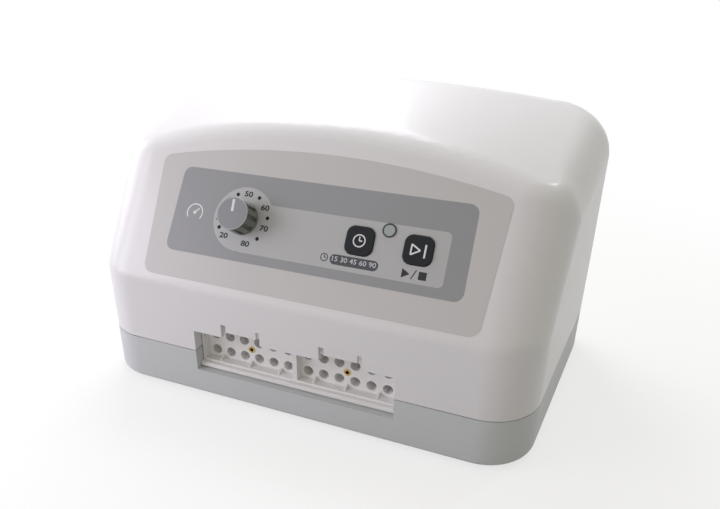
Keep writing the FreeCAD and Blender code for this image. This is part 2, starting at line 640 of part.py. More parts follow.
def key(centre):
    top = KEY_PROUD
    flange_top = PANEL_INNER - KEY_GAP
    flange_low = flange_top - KEY_FLANGE_THICKNESS
    cap = rounded_plate(centre, (KEY_SIZE, KEY_SIZE), KEY_CORNER, flange_low, top)
    rim = [e for e in cap.Edges if abs(e.CenterOfMass.z - top) < 0.01]
    cap = cap.makeFillet(0.7, rim)
    side = KEY_SIZE + 2 * KEY_FLANGE
    flange = rounded_plate(centre, (side, side), KEY_CORNER + KEY_FLANGE, flange_low, flange_top)
    stem = rod(KEY_STEM_RADIUS, (*centre, STEM_END), (*centre, flange_low + 1))
    return on_panel(cap.fuse([flange, stem]))


def plunger(centre):
    return on_panel(rod(PLUNGER_RADIUS, (*centre, STEM_END - SWITCH_HEIGHT), (*centre, STEM_END)))


def tact_switches():
    bodies = []
    for x, y in (TIME_KEY_AT, START_KEY_AT):
        block = box_at((x, y, (BOARD_FACE + SWITCH_TOP) / 2), (SWITCH_SIZE, SWITCH_SIZE, SWITCH_HEIGHT))
        well = rod(PLUNGER_RADIUS + RUNNING_GAP, (x, y, BOARD_FACE + 0.2), (x, y, SWITCH_TOP + 1))
        bodies.append(block.cut(well))
    return on_panel(Part.Compound(bodies))


def run_indicator():
    lens = rod(INDICATOR_RADIUS, (*INDICATOR_AT, PANEL_INNER), (*INDICATOR_AT, 0.6))
    rim = [e for e in lens.Edges if abs(e.CenterOfMass.z - 0.6) < 0.01 and e.Length > 10]
    lens = lens.makeFillet(0.4, rim)
    flange = rod(INDICATOR_RADIUS + 1.4, (*INDICATOR_AT, PANEL_INNER - 1), (*INDICATOR_AT, PANEL_INNER))
    guide = rod(2.0, (*INDICATOR_AT, BOARD_FACE + 2.3), (*INDICATOR_AT, PANEL_INNER))
    return on_panel(lens.fuse([flange, guide]))


def timer_strip():
    size = (TIMER_STRIP_LENGTH, TIMER_STRIP_HEIGHT)
    window = rounded_plate(TIMER_STRIP_AT, size, size[1] / 2 - 0.01, PANEL_INNER, OVERLAY_PROUD + 0.1)
    flange = rounded_plate(TIMER_STRIP_AT, (size[0] + 2.8, size[1]), 1.0, PANEL_INNER - 1, PANEL_INNER)
    guides = []
    for x, y in timer_spots():
        guides.append(box((x - 1.5, y - 1.2, BOARD_FACE + 1.8), (x + 1.5, y + 1.2, PANEL_INNER - 1)))
    return on_panel(window.fuse([flange] + guides))


def timer_spots():
    pitch = TIMER_STRIP_LENGTH / TIMER_STEPS
    for step in range(TIMER_STEPS):
        yield TIMER_STRIP_AT[0] + (step - (TIMER_STEPS - 1) / 2) * pitch, TIMER_STRIP_AT[1]


def panel_lamps():
    lamps = []
    for x, y in timer_spots():
        lamps.append(box((x - 1.6, y - 1.0, BOARD_FACE), (x + 1.6, y + 1.0, BOARD_FACE + 1.5)))
    lamps.append(rod(1.5, (*INDICATOR_AT, BOARD_FACE), (*INDICATOR_AT, BOARD_FACE + 2.0)))
    return on_panel(Part.Compound(lamps))


def control_board():
    board = rounded_plate(BOARD_CENTRE, BOARD_SIZE, 2.0, BOARD_FACE - BOARD_THICKNESS, BOARD_FACE)
    radius = BOARD_SCREW_RADIUS + 2 * FIT
    holes = [rod(radius, (*corner, BOARD_FACE - 3), (*corner, BOARD_FACE + 1)) for corner in board_corners()]
    return on_panel(board.cut(holes))


def board_screws():
    screws = []
    back = BOARD_FACE - BOARD_THICKNESS
    for corner in board_corners():
        head = rod(BOARD_SCREW_HEAD, (*corner, back - 2.0), (*corner, back))
        shank = rod(BOARD_SCREW_RADIUS, (*corner, back), (*corner, BOARD_FACE + 6))
        screws.append(head.fuse(shank).cut(box_at((*corner, back - 2.0), (3.8, 0.8, 1.6))))
    return on_panel(Part.Compound(screws))


def board_components():
    back = BOARD_FACE - BOARD_THICKNESS
    x, y = BOARD_CENTRE
    parts = []
    for dx, dy, length, width, height in BOARD_BLOCKS:
        parts.append(box_at((x + dx, y + dy, back - height / 2), (length, width, height)))
    for dx, dy, radius, height in BOARD_CAPACITORS:
        parts.append(rod(radius, (x + dx, y + dy, back - height), (x + dx, y + dy, back)))
    return on_panel(Part.Compound(parts))


# ---------------------------------------------------------------- connector bays and air path
def port_block_envelope(grow):
    return box((-RECESS_HALF_WIDTH - grow, PLATE_FACE - APRON_DEPTH - grow, APRON_LOW - grow),
               (RECESS_HALF_WIDTH + grow, PLATE_FACE, TRAY_LOW + grow))


def port_block():
    half = RECESS_HALF_WIDTH - FIT
    plate = box((-half - 1.4, PLATE_FACE, RECESS_LOW - 2.0), (half + 1.4, PLATE_BACK, TRAY_HIGH + TRAY_WALL))
    frame = box((-half, PLATE_FACE - TRAY_RISE, TRAY_LOW - 1), (half, PLATE_FACE, TRAY_HIGH))
    pockets = []
    for side in (-1, 1):
        inner, outer = sorted((side * TRAY_WALL, side * (half - TRAY_WALL)))
        low_corner = (inner, PLATE_FACE - TRAY_RISE - 1, TRAY_LOW + TRAY_WALL)
        pockets.append(box(low_corner, (outer, PLATE_FACE, TRAY_HIGH + 1)))
    apron = box((-half, PLATE_FACE - APRON_DEPTH, APRON_LOW), (half, PLATE_FACE, TRAY_LOW))
    nose = [e for e in apron.Edges if abs(e.CenterOfMass.y - (PLATE_FACE - APRON_DEPTH)) < 0.01
            and abs(e.CenterOfMass.z - TRAY_LOW) < 0.01]
    apron = apron.makeFillet(0.8, nose)
    block = plate.fuse([frame.cut(pockets), apron] + floor_ribs(TRAY_LOW + TRAY_WALL))
    holes = []
    for x, z in port_centres():
        holes.append(rod(PORT_RADIUS, (x, PLATE_FACE - 1, z), (x, PLATE_FACE + PORT_DEPTH, z)))
        holes.append(rod(PASSAGE_RADIUS, (x, PLATE_FACE, z), (x, PLATE_BACK + 1, z)))
    for x in (-BAY_CENTRE, BAY_CENTRE):
        end = (x, PLATE_FACE + INSERT_LENGTH, ROWS_MIDDLE)
        holes.append(rod(INSERT_RADIUS, (x, PLATE_FACE - 1, ROWS_MIDDLE), end))
    return block.cut(holes).removeSplitter()


def floor_ribs(floor):
    """Three low ribs on the floor of each bay, between every second pair of ports."""
    ribs = []
    for side in (-1, 1):
        for pair in range(PORT_COLUMNS // 2):
            x = side * BAY_CENTRE + (2 * pair - 2) * PORT_PITCH
            left = x - RIB_THICKNESS / 2
            tip = PLATE_FACE - RIB_DEPTH
            outline = [(left, PLATE_FACE, floor), (left, tip, floor), (left, tip, floor + RIB_TIP),
                       (left, PLATE_FACE, floor + RIB_HEIGHT)]
            ribs.append(polygon_prism(outline, (RIB_THICKNESS, 0, 0)))
    return ribs


def port_inserts():
    rings = []
    for x in (-BAY_CENTRE, BAY_CENTRE):
        start = (x, PLATE_FACE - INSERT_PROUD, ROWS_MIDDLE)
        rings.append(tube(INSERT_RADIUS, INSERT_BORE, start, (x, PLATE_FACE + INSERT_LENGTH, ROWS_MIDDLE)))
    return Part.Compound(rings)


def keying_tabs():
    """Tongue that hangs in each notch and lets a connector in one way up only."""
    tabs = []
    high = NOTCH_HIGH - FIT
    front = FRONT + KEYING_TAB_SETBACK
    for side in (-1, 1):
        x = side * BAY_CENTRE
        low, up = x - KEYING_TAB_HALF_WIDTH, x + KEYING_TAB_HALF_WIDTH
        tongue = box((low, front, KEYING_TAB_LOW), (up, front + KEYING_TAB_THICKNESS, high))
        face = [e for e in tongue.Edges if abs(e.CenterOfMass.y - front) < 0.01]
        face = [e for e in face if e.CenterOfMass.z < high - 0.01]
        roof = box((low, front + KEYING_TAB_THICKNESS - 1, high - KEYING_TAB_THICKNESS), (up, PLATE_BACK, high))
        leg = box((low, PLATE_BACK - KEYING_TAB_THICKNESS, TRAY_HIGH + TRAY_WALL), (up, PLATE_BACK, high))
        tabs.append(tongue.makeChamfer(0.4, face).fuse([roof, leg]).removeSplitter())
    return Part.Compound(tabs)


def valve_rod(radius, start, end):
    """Cylinder about the rotary valve's axis."""
    return rod(radius, (0, start, VALVE_HEIGHT), (0, end, VALVE_HEIGHT))


def valve_spots(start):
    for step in range(VALVE_PORTS):
        angle = 2 * math.pi * step / VALVE_PORTS
        yield VALVE_PORT_CIRCLE * math.cos(angle), start, VALVE_HEIGHT + VALVE_PORT_CIRCLE * math.sin(angle)


def manifold():
    half = BAY_CENTRE + PORT_COLUMNS * PORT_PITCH / 2
    body = box((-half, PLATE_BACK, RECESS_LOW + 1), (half, MANIFOLD_BACK, RECESS_HIGH + 1))
    uprights = [e for e in body.Edges if abs(e.tangentAt(e.FirstParameter).y) > 0.9]
    body = body.makeFillet(3.0, uprights)
    chamber = valve_rod(CHAMBER_RADIUS + CHAMBER_WALL, PLATE_BACK + 2, CHAMBER_BACK)
    room = valve_rod(CHAMBER_RADIUS, MANIFOLD_BACK, CHAMBER_BACK + 1)
    passages = []
    for x, z in port_centres():
        passages.append(rod(PASSAGE_RADIUS, (x, PLATE_BACK - 1, z), (x, PLATE_BACK + 5, z)))
    for x, y, z in valve_spots(MANIFOLD_BACK - 4):
        passages.append(rod(1.5, (x, y, z), (x, y + 6, z)))
    barbs = []
    for x in (SUPPLY_INLET, REGULATOR_INLET):
        start = (x, MANIFOLD_BACK - 2, ROWS_MIDDLE)
        barbs.append(rod(HOSE_BORE, start, (x, MANIFOLD_BACK + 9, ROWS_MIDDLE)))
    return body.fuse([chamber] + barbs).cut([room] + passages)


def valve_rotor():
    front = MANIFOLD_BACK + ROTOR_GAP
    back = front + ROTOR_THICKNESS
    disc = valve_rod(CHAMBER_RADIUS - ROTOR_GAP, front, back)
    window = box_at((0, (MANIFOLD_BACK + back - 1.5) / 2, VALVE_HEIGHT + VALVE_PORT_CIRCLE),
                    (8.0, back - 1.5 - MANIFOLD_BACK, 6.0))
    return disc.fuse(valve_rod(SHAFT_RADIUS, back - 1, CHAMBER_BACK + VALVE_SHAFT_REACH)).cut(window)


def valve_gearmotor():
    start = CHAMBER_BACK
    body = valve_rod(GEARMOTOR_RADIUS, start, start + GEARMOTOR_LENGTH)
    rim = [e for e in body.Edges if abs(e.CenterOfMass.y - start - GEARMOTOR_LENGTH) < 0.01 and e.Length > 10]
    body = body.makeFillet(2.0, rim)
    ears = rounded_plate((0, 0), (2 * GEARMOTOR_RADIUS + 16, 12.0), 5.0, 0, 2.0)
    ears.rotate(Vector(0, 0, 0), Vector(1, 0, 0), -90)
    ears.translate(Vector(0, start, VALVE_HEIGHT))
    bore = valve_rod(SHAFT_RADIUS + RUNNING_GAP, start - 1, start + VALVE_SHAFT_REACH + 2)
    return body.fuse(ears).cut(bore)


def valve_bracket():
    """Post under the gearmotor that carries it on the base's floor."""
    middle = CHAMBER_BACK + GEARMOTOR_LENGTH / 2
    width, depth, height = BRACKET_POST
    post = box_at((0, middle, BASE_FLOOR + height / 2), (width, depth, height))
    foot = box_at((0, middle, BASE_FLOOR + WALL / 2), BRACKET_FOOT)
    room = valve_rod(GEARMOTOR_RADIUS + RUNNING_GAP, CHAMBER_BACK, CHAMBER_BACK + GEARMOTOR_LENGTH)
    return post.fuse(foot).cut(room)


# ---------------------------------------------------------------- air pump
def pump_middle():
    return PUMP_AT[0], PUMP_AT[1], PUMP_BASE_HEIGHT + PUMP_HEIGHT / 2


def pump_body():
    x, y, z = pump_middle()
    block = box_at((x, y, z), (PUMP_LENGTH, PUMP_WIDTH, PUMP_HEIGHT))
    longways = [e for e in block.Edges if abs(e.tangentAt(e.FirstParameter).x) > 0.9]
    block = block.makeFillet(5.0, longways)
    bore = rod(PUMP_BORE, (x - PUMP_LENGTH, y, z), (x + PUMP_LENGTH, y, z))
    grooves = []
    count = int((PUMP_LENGTH - 10) // PUMP_FIN_PITCH)
    for index in range(count):
        gx = x + (index - (count - 1) / 2) * PUMP_FIN_PITCH
        slot = PUMP_FIN_PITCH - PUMP_FIN
        for side in (-1, 1):
            grooves.append(box_at((gx, y + side * PUMP_WIDTH / 2, z), (slot, 6.0, PUMP_HEIGHT - 16)))
        grooves.append(box_at((gx, y, z + PUMP_HEIGHT / 2), (slot, PUMP_WIDTH - 16, 5.0)))
    return block.cut([bore] + grooves)


def pump_heads():
    x, y, z = pump_middle()
    heads = []
    for side in (-1, 1):
        face = x + side * PUMP_LENGTH / 2
        cover = box_at((face + side * PUMP_HEAD / 2, y, z), (PUMP_HEAD, PUMP_WIDTH - 8, PUMP_HEIGHT - 4))
        longways = [e for e in cover.Edges if abs(e.tangentAt(e.FirstParameter).x) > 0.9]
        cover = cover.makeFillet(6.0, longways)
        room = rod(PUMP_BORE, (face - side, y, z), (face + side * (PUMP_HEAD - 3), y, z))
        heads.append(cover.cut(room))
    outlet = x + PUMP_LENGTH / 2 + PUMP_HEAD
    barb = rod(HOSE_BORE, (outlet - 1, y, z + PUMP_OUTLET_RISE), (outlet + 9, y, z + PUMP_OUTLET_RISE))
    heads[1] = heads[1].fuse(barb)
    return Part.Compound(heads)


def pump_armature():
    x, y, z = pump_middle()
    reach = PUMP_LENGTH / 2 + 2.0
    shaft = rod(ARMATURE_SHAFT, (x - reach, y, z), (x + reach, y, z))
    magnet = box_at((x, y, z), MAGNET_SIZE)
    discs = []
    for centre in (x - reach, x + reach):
        discs.append(rod(PUMP_BORE - DIAPHRAGM_GAP, (centre - 1, y, z), (centre + 1, y, z)))
    return shaft.fuse([magnet] + discs)


def pump_mounts():
    mounts = []
    for x_side in (-1, 1):
        for y_side in (-1, 1):
            x = PUMP_AT[0] + x_side * (PUMP_LENGTH / 2 - 9)
            y = PUMP_AT[1] + y_side * (PUMP_WIDTH / 2 - 9)
            middle = (BASE_FLOOR + PUMP_BASE_HEIGHT) / 2
            mount = rod(6.0, (x, y, BASE_FLOOR), (x, y, PUMP_BASE_HEIGHT))
            mounts.append(mount.cut(tube(8.0, 4.4, (x, y, middle - 1.5), (x, y, middle + 1.5))))
    return Part.Compound(mounts)


def hose(points, bends):
    """Tube of straight runs and bends; each bend is a turned ring."""
    vectors = [Vector(*p) for p in points]
    bore = HOSE_BORE + RUNNING_GAP
    pieces = []
    start = vectors[0]
    for before, corner, after, radius in zip(vectors, vectors[1:], vectors[2:], bends):
        arrive = (corner - before).normalize()
        leave = (after - corner).normalize()
        turn = arrive.getAngle(leave)
        first = corner - arrive * radius * math.tan(turn / 2)
        inward = (leave - arrive * leave.dot(arrive)).normalize()
        ring = Part.Face(Part.Wire(Part.makeCircle(HOSE_RADIUS, first, arrive)))
        ring = ring.cut(Part.Face(Part.Wire(Part.makeCircle(bore, first, arrive))))
        pieces.append(tube(HOSE_RADIUS, bore, start, first))
        pieces.append(ring.revolve(first + inward * radius, arrive.cross(leave), math.degrees(turn)))
        start = corner + leave * radius * math.tan(turn / 2)
    pieces.append(tube(HOSE_RADIUS, bore, start, vectors[-1]))
    return pieces[0].fuse(pieces[1:]).removeSplitter()


def supply_hose():
    """From the pump's outlet to the manifold's outer inlet."""
    x, y, z = pump_middle()
    start = (x + PUMP_LENGTH / 2 + PUMP_HEAD + 1, y, z + PUMP_OUTLET_RISE)
    turn = (start[0] + SUPPLY_HOSE_TURN, y, start[2])
    beside = (turn[0] - 2, SUPPLY_HOSE_PASS, start[2] - 3)
    approach = (SUPPLY_INLET, MANIFOLD_BACK + SUPPLY_HOSE_RUN, ROWS_MIDDLE)
    end = (SUPPLY_INLET, MANIFOLD_BACK + 1, ROWS_MIDDLE)
    return hose([start, turn, beside, approach, end], SUPPLY_HOSE_BENDS)


def regulator_hose():
    """From the pressure regulator straight down to the manifold's inner inlet."""
    depth = PANEL_INNER - REGULATOR_LENGTH + BARB_INSET
    start = panel_point(KNOB_AT[0], KNOB_AT[1] - REGULATOR_RADIUS - 1, depth)
    turn = panel_point(KNOB_AT[0], KNOB_AT[1] - REGULATOR_RADIUS - REGULATOR_HOSE_TURN, depth)
    behind = MANIFOLD_BACK + REGULATOR_HOSE_RUN
    over = (REGULATOR_INLET, behind, ROWS_MIDDLE + REGULATOR_HOSE_DROP)
    under = (REGULATOR_INLET, behind, ROWS_MIDDLE)
    end = (REGULATOR_INLET, MANIFOLD_BACK + 1, ROWS_MIDDLE)
    return hose([tuple(start), tuple(turn), over, under, end], REGULATOR_HOSE_BENDS)


# ---------------------------------------------------------------- mains parts
def transformer_core():
    x, y = TRANSFORMER_AT
    z = BASE_FLOOR + BRACKET_THICKNESS + CORE_SIZE[2] / 2
    core = box_at((x, y, z), CORE_SIZE)
    window = ((WINDING_SIZE[0] - CORE_LIMB) / 2, CORE_SIZE[1] + 2, WINDING_SIZE[2])
    reach = (WINDING_SIZE[0] + CORE_LIMB) / 4
    return core.cut([box_at((x - reach, y, z), window), box_at((x + reach, y, z), window)])


def transformer_winding():
    x, y = TRANSFORMER_AT
    z = BASE_FLOOR + BRACKET_THICKNESS + CORE_SIZE[2] / 2
    coil = box_at((x, y, z), (WINDING_SIZE[0] - 2 * FIT, WINDING_SIZE[1], WINDING_SIZE[2] - 2 * FIT))
    upright = [e for e in coil.Edges if abs(e.tangentAt(e.FirstParameter).z) > 0.9]
    coil = coil.makeFillet(3.0, upright)
    limb = box_at((x, y, z), (CORE_LIMB + 2 * FIT, CORE_SIZE[1] + 2 * FIT, WINDING_SIZE[2] + 2))
    return coil.cut(limb)


def transformer_bracket():
    x, y = TRANSFORMER_AT
    plate_size = (CORE_SIZE[0] + 24, CORE_SIZE[1] - 4)
    plate = rounded_plate((x, y), plate_size, 3.0, BASE_FLOOR, BASE_FLOOR + BRACKET_THICKNESS)
    cheeks = []
    for side in (-1, 1):
        centre = x + side * (CORE_SIZE[0] + BRACKET_THICKNESS + FIT) / 2
        cheeks.append(box_at((centre, y, BASE_FLOOR + CORE_SIZE[2] / 2),
                             (BRACKET_THICKNESS, plate_size[1], CORE_SIZE[2])))
    return plate.fuse(cheeks)


def power_pocket():
    x, z = POWER_RECESS_CENTRE
    plate = rounded_plate((x, z), POWER_RECESS_SIZE, 4.0, 0, POWER_RECESS_DEPTH + 1)
    return stand_on_rear(plate, REAR + 1)


def stand_on_rear(shape, y):
    """Turn a shape drawn in X and Y, with depth along Z, so that its depth runs forward from y."""
    shape = shape.copy()
    shape.rotate(Vector(0, 0, 0), Vector(1, 0, 0), 90)
    shape.translate(Vector(0, y, 0))
    return shape


def power_pocket_walls():
    x, z = POWER_RECESS_CENTRE
    size = [side + 2 * WALL for side in POWER_RECESS_SIZE]
    return stand_on_rear(rounded_plate((x, z), size, 4.0 + WALL, 0, POWER_RECESS_DEPTH + WALL), REAR - 0.1)


def power_cutouts():
    x, z = POWER_RECESS_CENTRE
    y = POCKET_FLOOR - 2
    depth = 2 * WALL + 4
    inlet = box_at((x + INLET_OFFSET, y, z), (INLET_BODY[0] + 2 * FIT, depth, INLET_BODY[1] + 2 * FIT))
    switch = box_at((x + ROCKER_OFFSET, y, z), (ROCKER_BODY[0] + 2 * FIT, depth, ROCKER_BODY[1] + 2 * FIT))
    return [inlet, switch]


def rear_flange(centre, size, corner):
    """Flange that lies on the pocket's floor."""
    return stand_on_rear(rounded_plate(centre, size[:2], corner, 0, size[2]), POCKET_FLOOR + size[2])


def mains_inlet():
    x, z = POWER_RECESS_CENTRE
    x += INLET_OFFSET
    body = box((x - INLET_BODY[0] / 2, POCKET_FLOOR - INLET_BODY[2], z - INLET_BODY[1] / 2),
               (x + INLET_BODY[0] / 2, POCKET_FLOOR + 1, z + INLET_BODY[1] / 2))
    mouth = POCKET_FLOOR + INLET_FLANGE[2] + 1
    left, right = x - INLET_CAVITY[0] / 2, x + INLET_CAVITY[0] / 2
    low, high = z - INLET_CAVITY[1] / 2, z + INLET_CAVITY[1] / 2
    chamfer = INLET_CHAMFER
    outline = [(left, mouth, low), (right, mouth, low), (right, mouth, high - chamfer),
               (right - chamfer, mouth, high), (left + chamfer, mouth, high), (left, mouth, high - chamfer)]
    cavity = polygon_prism(outline, (0, -INLET_CAVITY[2] - 1, 0))
    return rear_flange((x, z), INLET_FLANGE, 4.0).fuse(body).cut(cavity)


def inlet_pins():
    x, z = POWER_RECESS_CENTRE
    y = POCKET_FLOOR + INLET_FLANGE[2] - INLET_CAVITY[2] + INLET_PIN_SIZE[1] / 2
    pins = [box_at((x + INLET_OFFSET + dx, y, z + dz), INLET_PIN_SIZE) for dx, dz in INLET_PINS]
    return Part.Compound(pins)


def inlet_screws():
    x, z = POWER_RECESS_CENTRE
    x += INLET_OFFSET
    face = POCKET_FLOOR + INLET_FLANGE[2]
    radius, height = INLET_SCREW_HEAD
    long, short = INLET_SCREW_DRIVE
    screws = []
    for at in (x - INLET_SCREW_REACH, x + INLET_SCREW_REACH):
        top = (at, face + height, z)
        head = rod(radius, (at, face, z), top)
        screws.append(head.cut([box_at(top, (long, height, short)), box_at(top, (short, height, long))]))
    return Part.Compound(screws)


def rocker_pivot():
    x, z = POWER_RECESS_CENTRE
    return x + ROCKER_OFFSET, POCKET_FLOOR + ROCKER_BEZEL[2] - ROCKER_PIVOT_DEPTH, z


def switch_bezel():
    x, y, z = rocker_pivot()
    body = box((x - ROCKER_BODY[0] / 2, POCKET_FLOOR - ROCKER_BODY[2], z - ROCKER_BODY[1] / 2),
               (x + ROCKER_BODY[0] / 2, POCKET_FLOOR + 1, z + ROCKER_BODY[1] / 2))
    half = ROCKER_WIDTH / 2 + 2 * FIT
    reach = ROCKER_RADIUS + 2 * FIT
    well = rod(reach, (x - half, y, z), (x + half, y, z))
    mouth = box((x - half, y, z - reach), (x + half, REAR, z + reach))
    pin_end = ROCKER_WIDTH / 2 + ROCKER_PIN[1] + FIT
    pin_holes = rod(ROCKER_PIN[0] + RUNNING_GAP, (x - pin_end, y, z), (x + pin_end, y, z))
    return rear_flange((x, z), ROCKER_BEZEL, 2.0).fuse(body).cut([well, mouth, pin_holes])


def power_rocker():
    """Two-faced paddle on its pivot pin, at rest with its upper face pressed in."""
    x, y, z = rocker_pivot()
    half = ROCKER_WIDTH / 2
    drum = rod(ROCKER_RADIUS, (x - half, y, z), (x + half, y, z))
    valley = Vector(x, y + ROCKER_VALLEY, z)
    lean = math.degrees(ROCKER_THROW) / 2
    lower = box((x - ROCKER_WIDTH, valley.y, z - 2 * ROCKER_RADIUS), (x + ROCKER_WIDTH, REAR + WALL, z))
    lower.rotate(valley, Vector(1, 0, 0), lean)
    upper = box((x - ROCKER_WIDTH, valley.y, z), (x + ROCKER_WIDTH, REAR + WALL, z + 2 * ROCKER_RADIUS))
    upper.rotate(valley, Vector(1, 0, 0), -lean)
    pin_end = half + ROCKER_PIN[1]
    pin = rod(ROCKER_PIN[0], (x - pin_end, y, z), (x + pin_end, y, z))
    paddle = drum.cut([lower, upper]).fuse(pin)
    paddle.rotate(Vector(x, y, z), Vector(1, 0, 0), lean)
    return paddle


def vent_slots():
    slots = []
    for side in (-1, 1):
        for index in range(VENT_COUNT):
            x = side * (VENT_PITCH * (index + 0.5) + VENT_MIDDLE_GAP / 2)
            size = (VENT_WIDTH, VENT_LENGTH)
            slot = rounded_plate((x, VENT_HEIGHT), size, VENT_WIDTH / 2 - 0.01, 0, 2 * WALL)
            slots.append(stand_on_rear(slot, REAR + WALL))
    return slots


PARTS = {
    "upper_housing": upper_housing,
    "base_housing": base_housing,
    "rubber_feet": feet,
    "case_screws": case_screws,
    "control_overlay": control_overlay,
    "pressure_knob": pressure_knob,
    "knob_cap": knob_cap,
    "knob_pointer": knob_pointer,
    "regulator_stem": regulator_stem,
    "pressure_regulator": pressure_regulator,
    "regulator_nut": regulator_nut,
    "time_key": lambda: key(TIME_KEY_AT),
    "start_key": lambda: key(START_KEY_AT),
    "time_plunger": lambda: plunger(TIME_KEY_AT),
    "start_plunger": lambda: plunger(START_KEY_AT),
    "tact_switches": tact_switches,
    "run_indicator": run_indicator,
    "timer_strip": timer_strip,
    "panel_lamps": panel_lamps,
    "control_board": control_board,
    "board_screws": board_screws,
    "board_components": board_components,
    "port_block": port_block,
    "port_inserts": port_inserts,
    "keying_tabs": keying_tabs,
    "air_manifold": manifold,
    "valve_rotor": valve_rotor,
    "valve_gearmotor": valve_gearmotor,
    "valve_bracket": valve_bracket,
    "pump_body": pump_body,
    "pump_heads": pump_heads,
    "pump_armature": pump_armature,
    "pump_mounts": pump_mounts,
    "supply_hose": supply_hose,
    "regulator_hose": regulator_hose,
    "transformer_core": transformer_core,
    "transformer_winding": transformer_winding,
    "transformer_bracket": transformer_bracket,
    "mains_inlet": mains_inlet,
    "inlet_pins": inlet_pins,
    "inlet_screws": inlet_screws,
    "switch_bezel": switch_bezel,
    "power_rocker": power_rocker,
}

os.makedirs("parts", exist_ok=True)
for name, make in PARTS.items():
    shape = make()
    print("%-22s solids %2d  faces %4d  volume %10.1f  valid %s"
          % (name, len(shape.Solids), len(shape.Faces), shape.Volume, shape.isValid()))
    save(name, shape)
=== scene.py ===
# %% [markdown]
# # Dressing a compression therapy pump
# The pump is a table-top box that blows air into the cells of a garment. Its solids are already made, at their real
# size, so this lesson is about what the eye gets: moulded plastic, printed film, ink, brass and rubber.
# First the solids come in. They stay where they are, and everything else is placed from them.

# %% Load the solids
import json
import math
import bpy
from mathutils import Matrix, Vector

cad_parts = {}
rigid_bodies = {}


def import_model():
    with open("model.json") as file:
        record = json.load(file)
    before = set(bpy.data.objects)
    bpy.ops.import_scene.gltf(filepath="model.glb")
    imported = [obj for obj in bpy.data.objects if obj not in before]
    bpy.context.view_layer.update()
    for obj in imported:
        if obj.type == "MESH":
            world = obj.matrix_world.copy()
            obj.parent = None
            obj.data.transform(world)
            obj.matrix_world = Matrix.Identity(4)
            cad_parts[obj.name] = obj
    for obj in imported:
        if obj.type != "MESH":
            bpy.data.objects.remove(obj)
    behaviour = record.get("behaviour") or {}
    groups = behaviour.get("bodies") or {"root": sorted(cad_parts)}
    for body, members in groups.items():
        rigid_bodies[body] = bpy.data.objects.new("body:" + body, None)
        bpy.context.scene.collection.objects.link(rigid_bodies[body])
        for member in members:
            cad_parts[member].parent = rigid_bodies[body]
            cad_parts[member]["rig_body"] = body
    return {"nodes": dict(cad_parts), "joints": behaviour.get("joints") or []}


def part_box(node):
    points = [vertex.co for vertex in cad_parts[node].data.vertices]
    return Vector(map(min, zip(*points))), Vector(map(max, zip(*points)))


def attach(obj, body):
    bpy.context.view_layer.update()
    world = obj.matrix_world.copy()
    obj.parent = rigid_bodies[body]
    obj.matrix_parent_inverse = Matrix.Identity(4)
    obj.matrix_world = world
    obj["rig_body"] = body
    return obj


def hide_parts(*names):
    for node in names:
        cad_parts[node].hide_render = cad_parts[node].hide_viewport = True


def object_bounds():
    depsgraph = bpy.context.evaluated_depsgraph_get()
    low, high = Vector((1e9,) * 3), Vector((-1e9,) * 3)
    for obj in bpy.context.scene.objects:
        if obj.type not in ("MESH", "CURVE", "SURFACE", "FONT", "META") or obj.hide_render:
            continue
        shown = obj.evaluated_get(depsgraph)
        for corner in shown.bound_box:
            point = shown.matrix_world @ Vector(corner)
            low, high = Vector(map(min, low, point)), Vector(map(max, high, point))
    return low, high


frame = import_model()
nodes = frame["nodes"]
cad_low, cad_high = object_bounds()
MM = 0.001
print("solids:", len(nodes), "size in mm:", [round(side / MM, 1) for side in cad_high - cad_low])

# %% [markdown]
# ## The camera
# A product is easier to judge from one fixed place, so the camera comes first. It stands in front, a little to the
# right and above, and looks down on the leaning panel. Its turn is written as plain Euler angles.

# %% Camera
CAMERA_PLACE = Vector((0.13975, -0.35264, 0.24280))
CAMERA_TURN = [math.radians(angle) for angle in (65.9005, -1.0200, 20.7045)]
CAMERA_LENS = 30.18

bpy.ops.object.camera_add(location=CAMERA_PLACE, rotation=CAMERA_TURN)
camera = bpy.context.object
camera.name = "camera"
camera.data.lens = CAMERA_LENS
camera.data.clip_start = 0.01
bpy.context.scene.camera = camera

# %% [markdown]
# ## Floor and light
# The world is a warm grey for light, and plain white where the camera, a reflection or a clear piece looks straight
# at it. That mix needs one Light Path node.
# The lamps stand on the left, as a window would: one low in front, one beside the pump, a strong one behind it that
# whitens the roof, and a weak one that looks into the connector bays. A small bare lamp high on the right puts a
# glint on the round corner.
# The floor is a wide sheet. The camera and reflections see it white, with a soft shadow near the pump that fades with
# distance, so that no horizon shows and the side wall mirrors it. For bounced light it is a mid grey, which keeps the
# front from being lit from below.

# %% Helpers for colours and nodes
def linear(hex_colour):
    """An sRGB colour such as "#c0c0c0" as the linear RGBA that shaders take."""
    channels = [int(hex_colour[i:i + 2], 16) / 255 for i in (1, 3, 5)]
    return [c / 12.92 if c <= 0.04045 else ((c + 0.055) / 1.055) ** 2.4 for c in channels] + [1.0]


def add_node(tree, kind, inputs, **settings):
    """Adds one node. Its inputs are either values or other nodes' sockets, which are linked."""
    node = tree.nodes.new(kind)
    for name, value in settings.items():
        setattr(node, name, value)
    for name, value in inputs.items():
        if isinstance(value, bpy.types.NodeSocket):
            tree.links.new(value, node.inputs[name])
        else:
            node.inputs[name].default_value = value
    return node


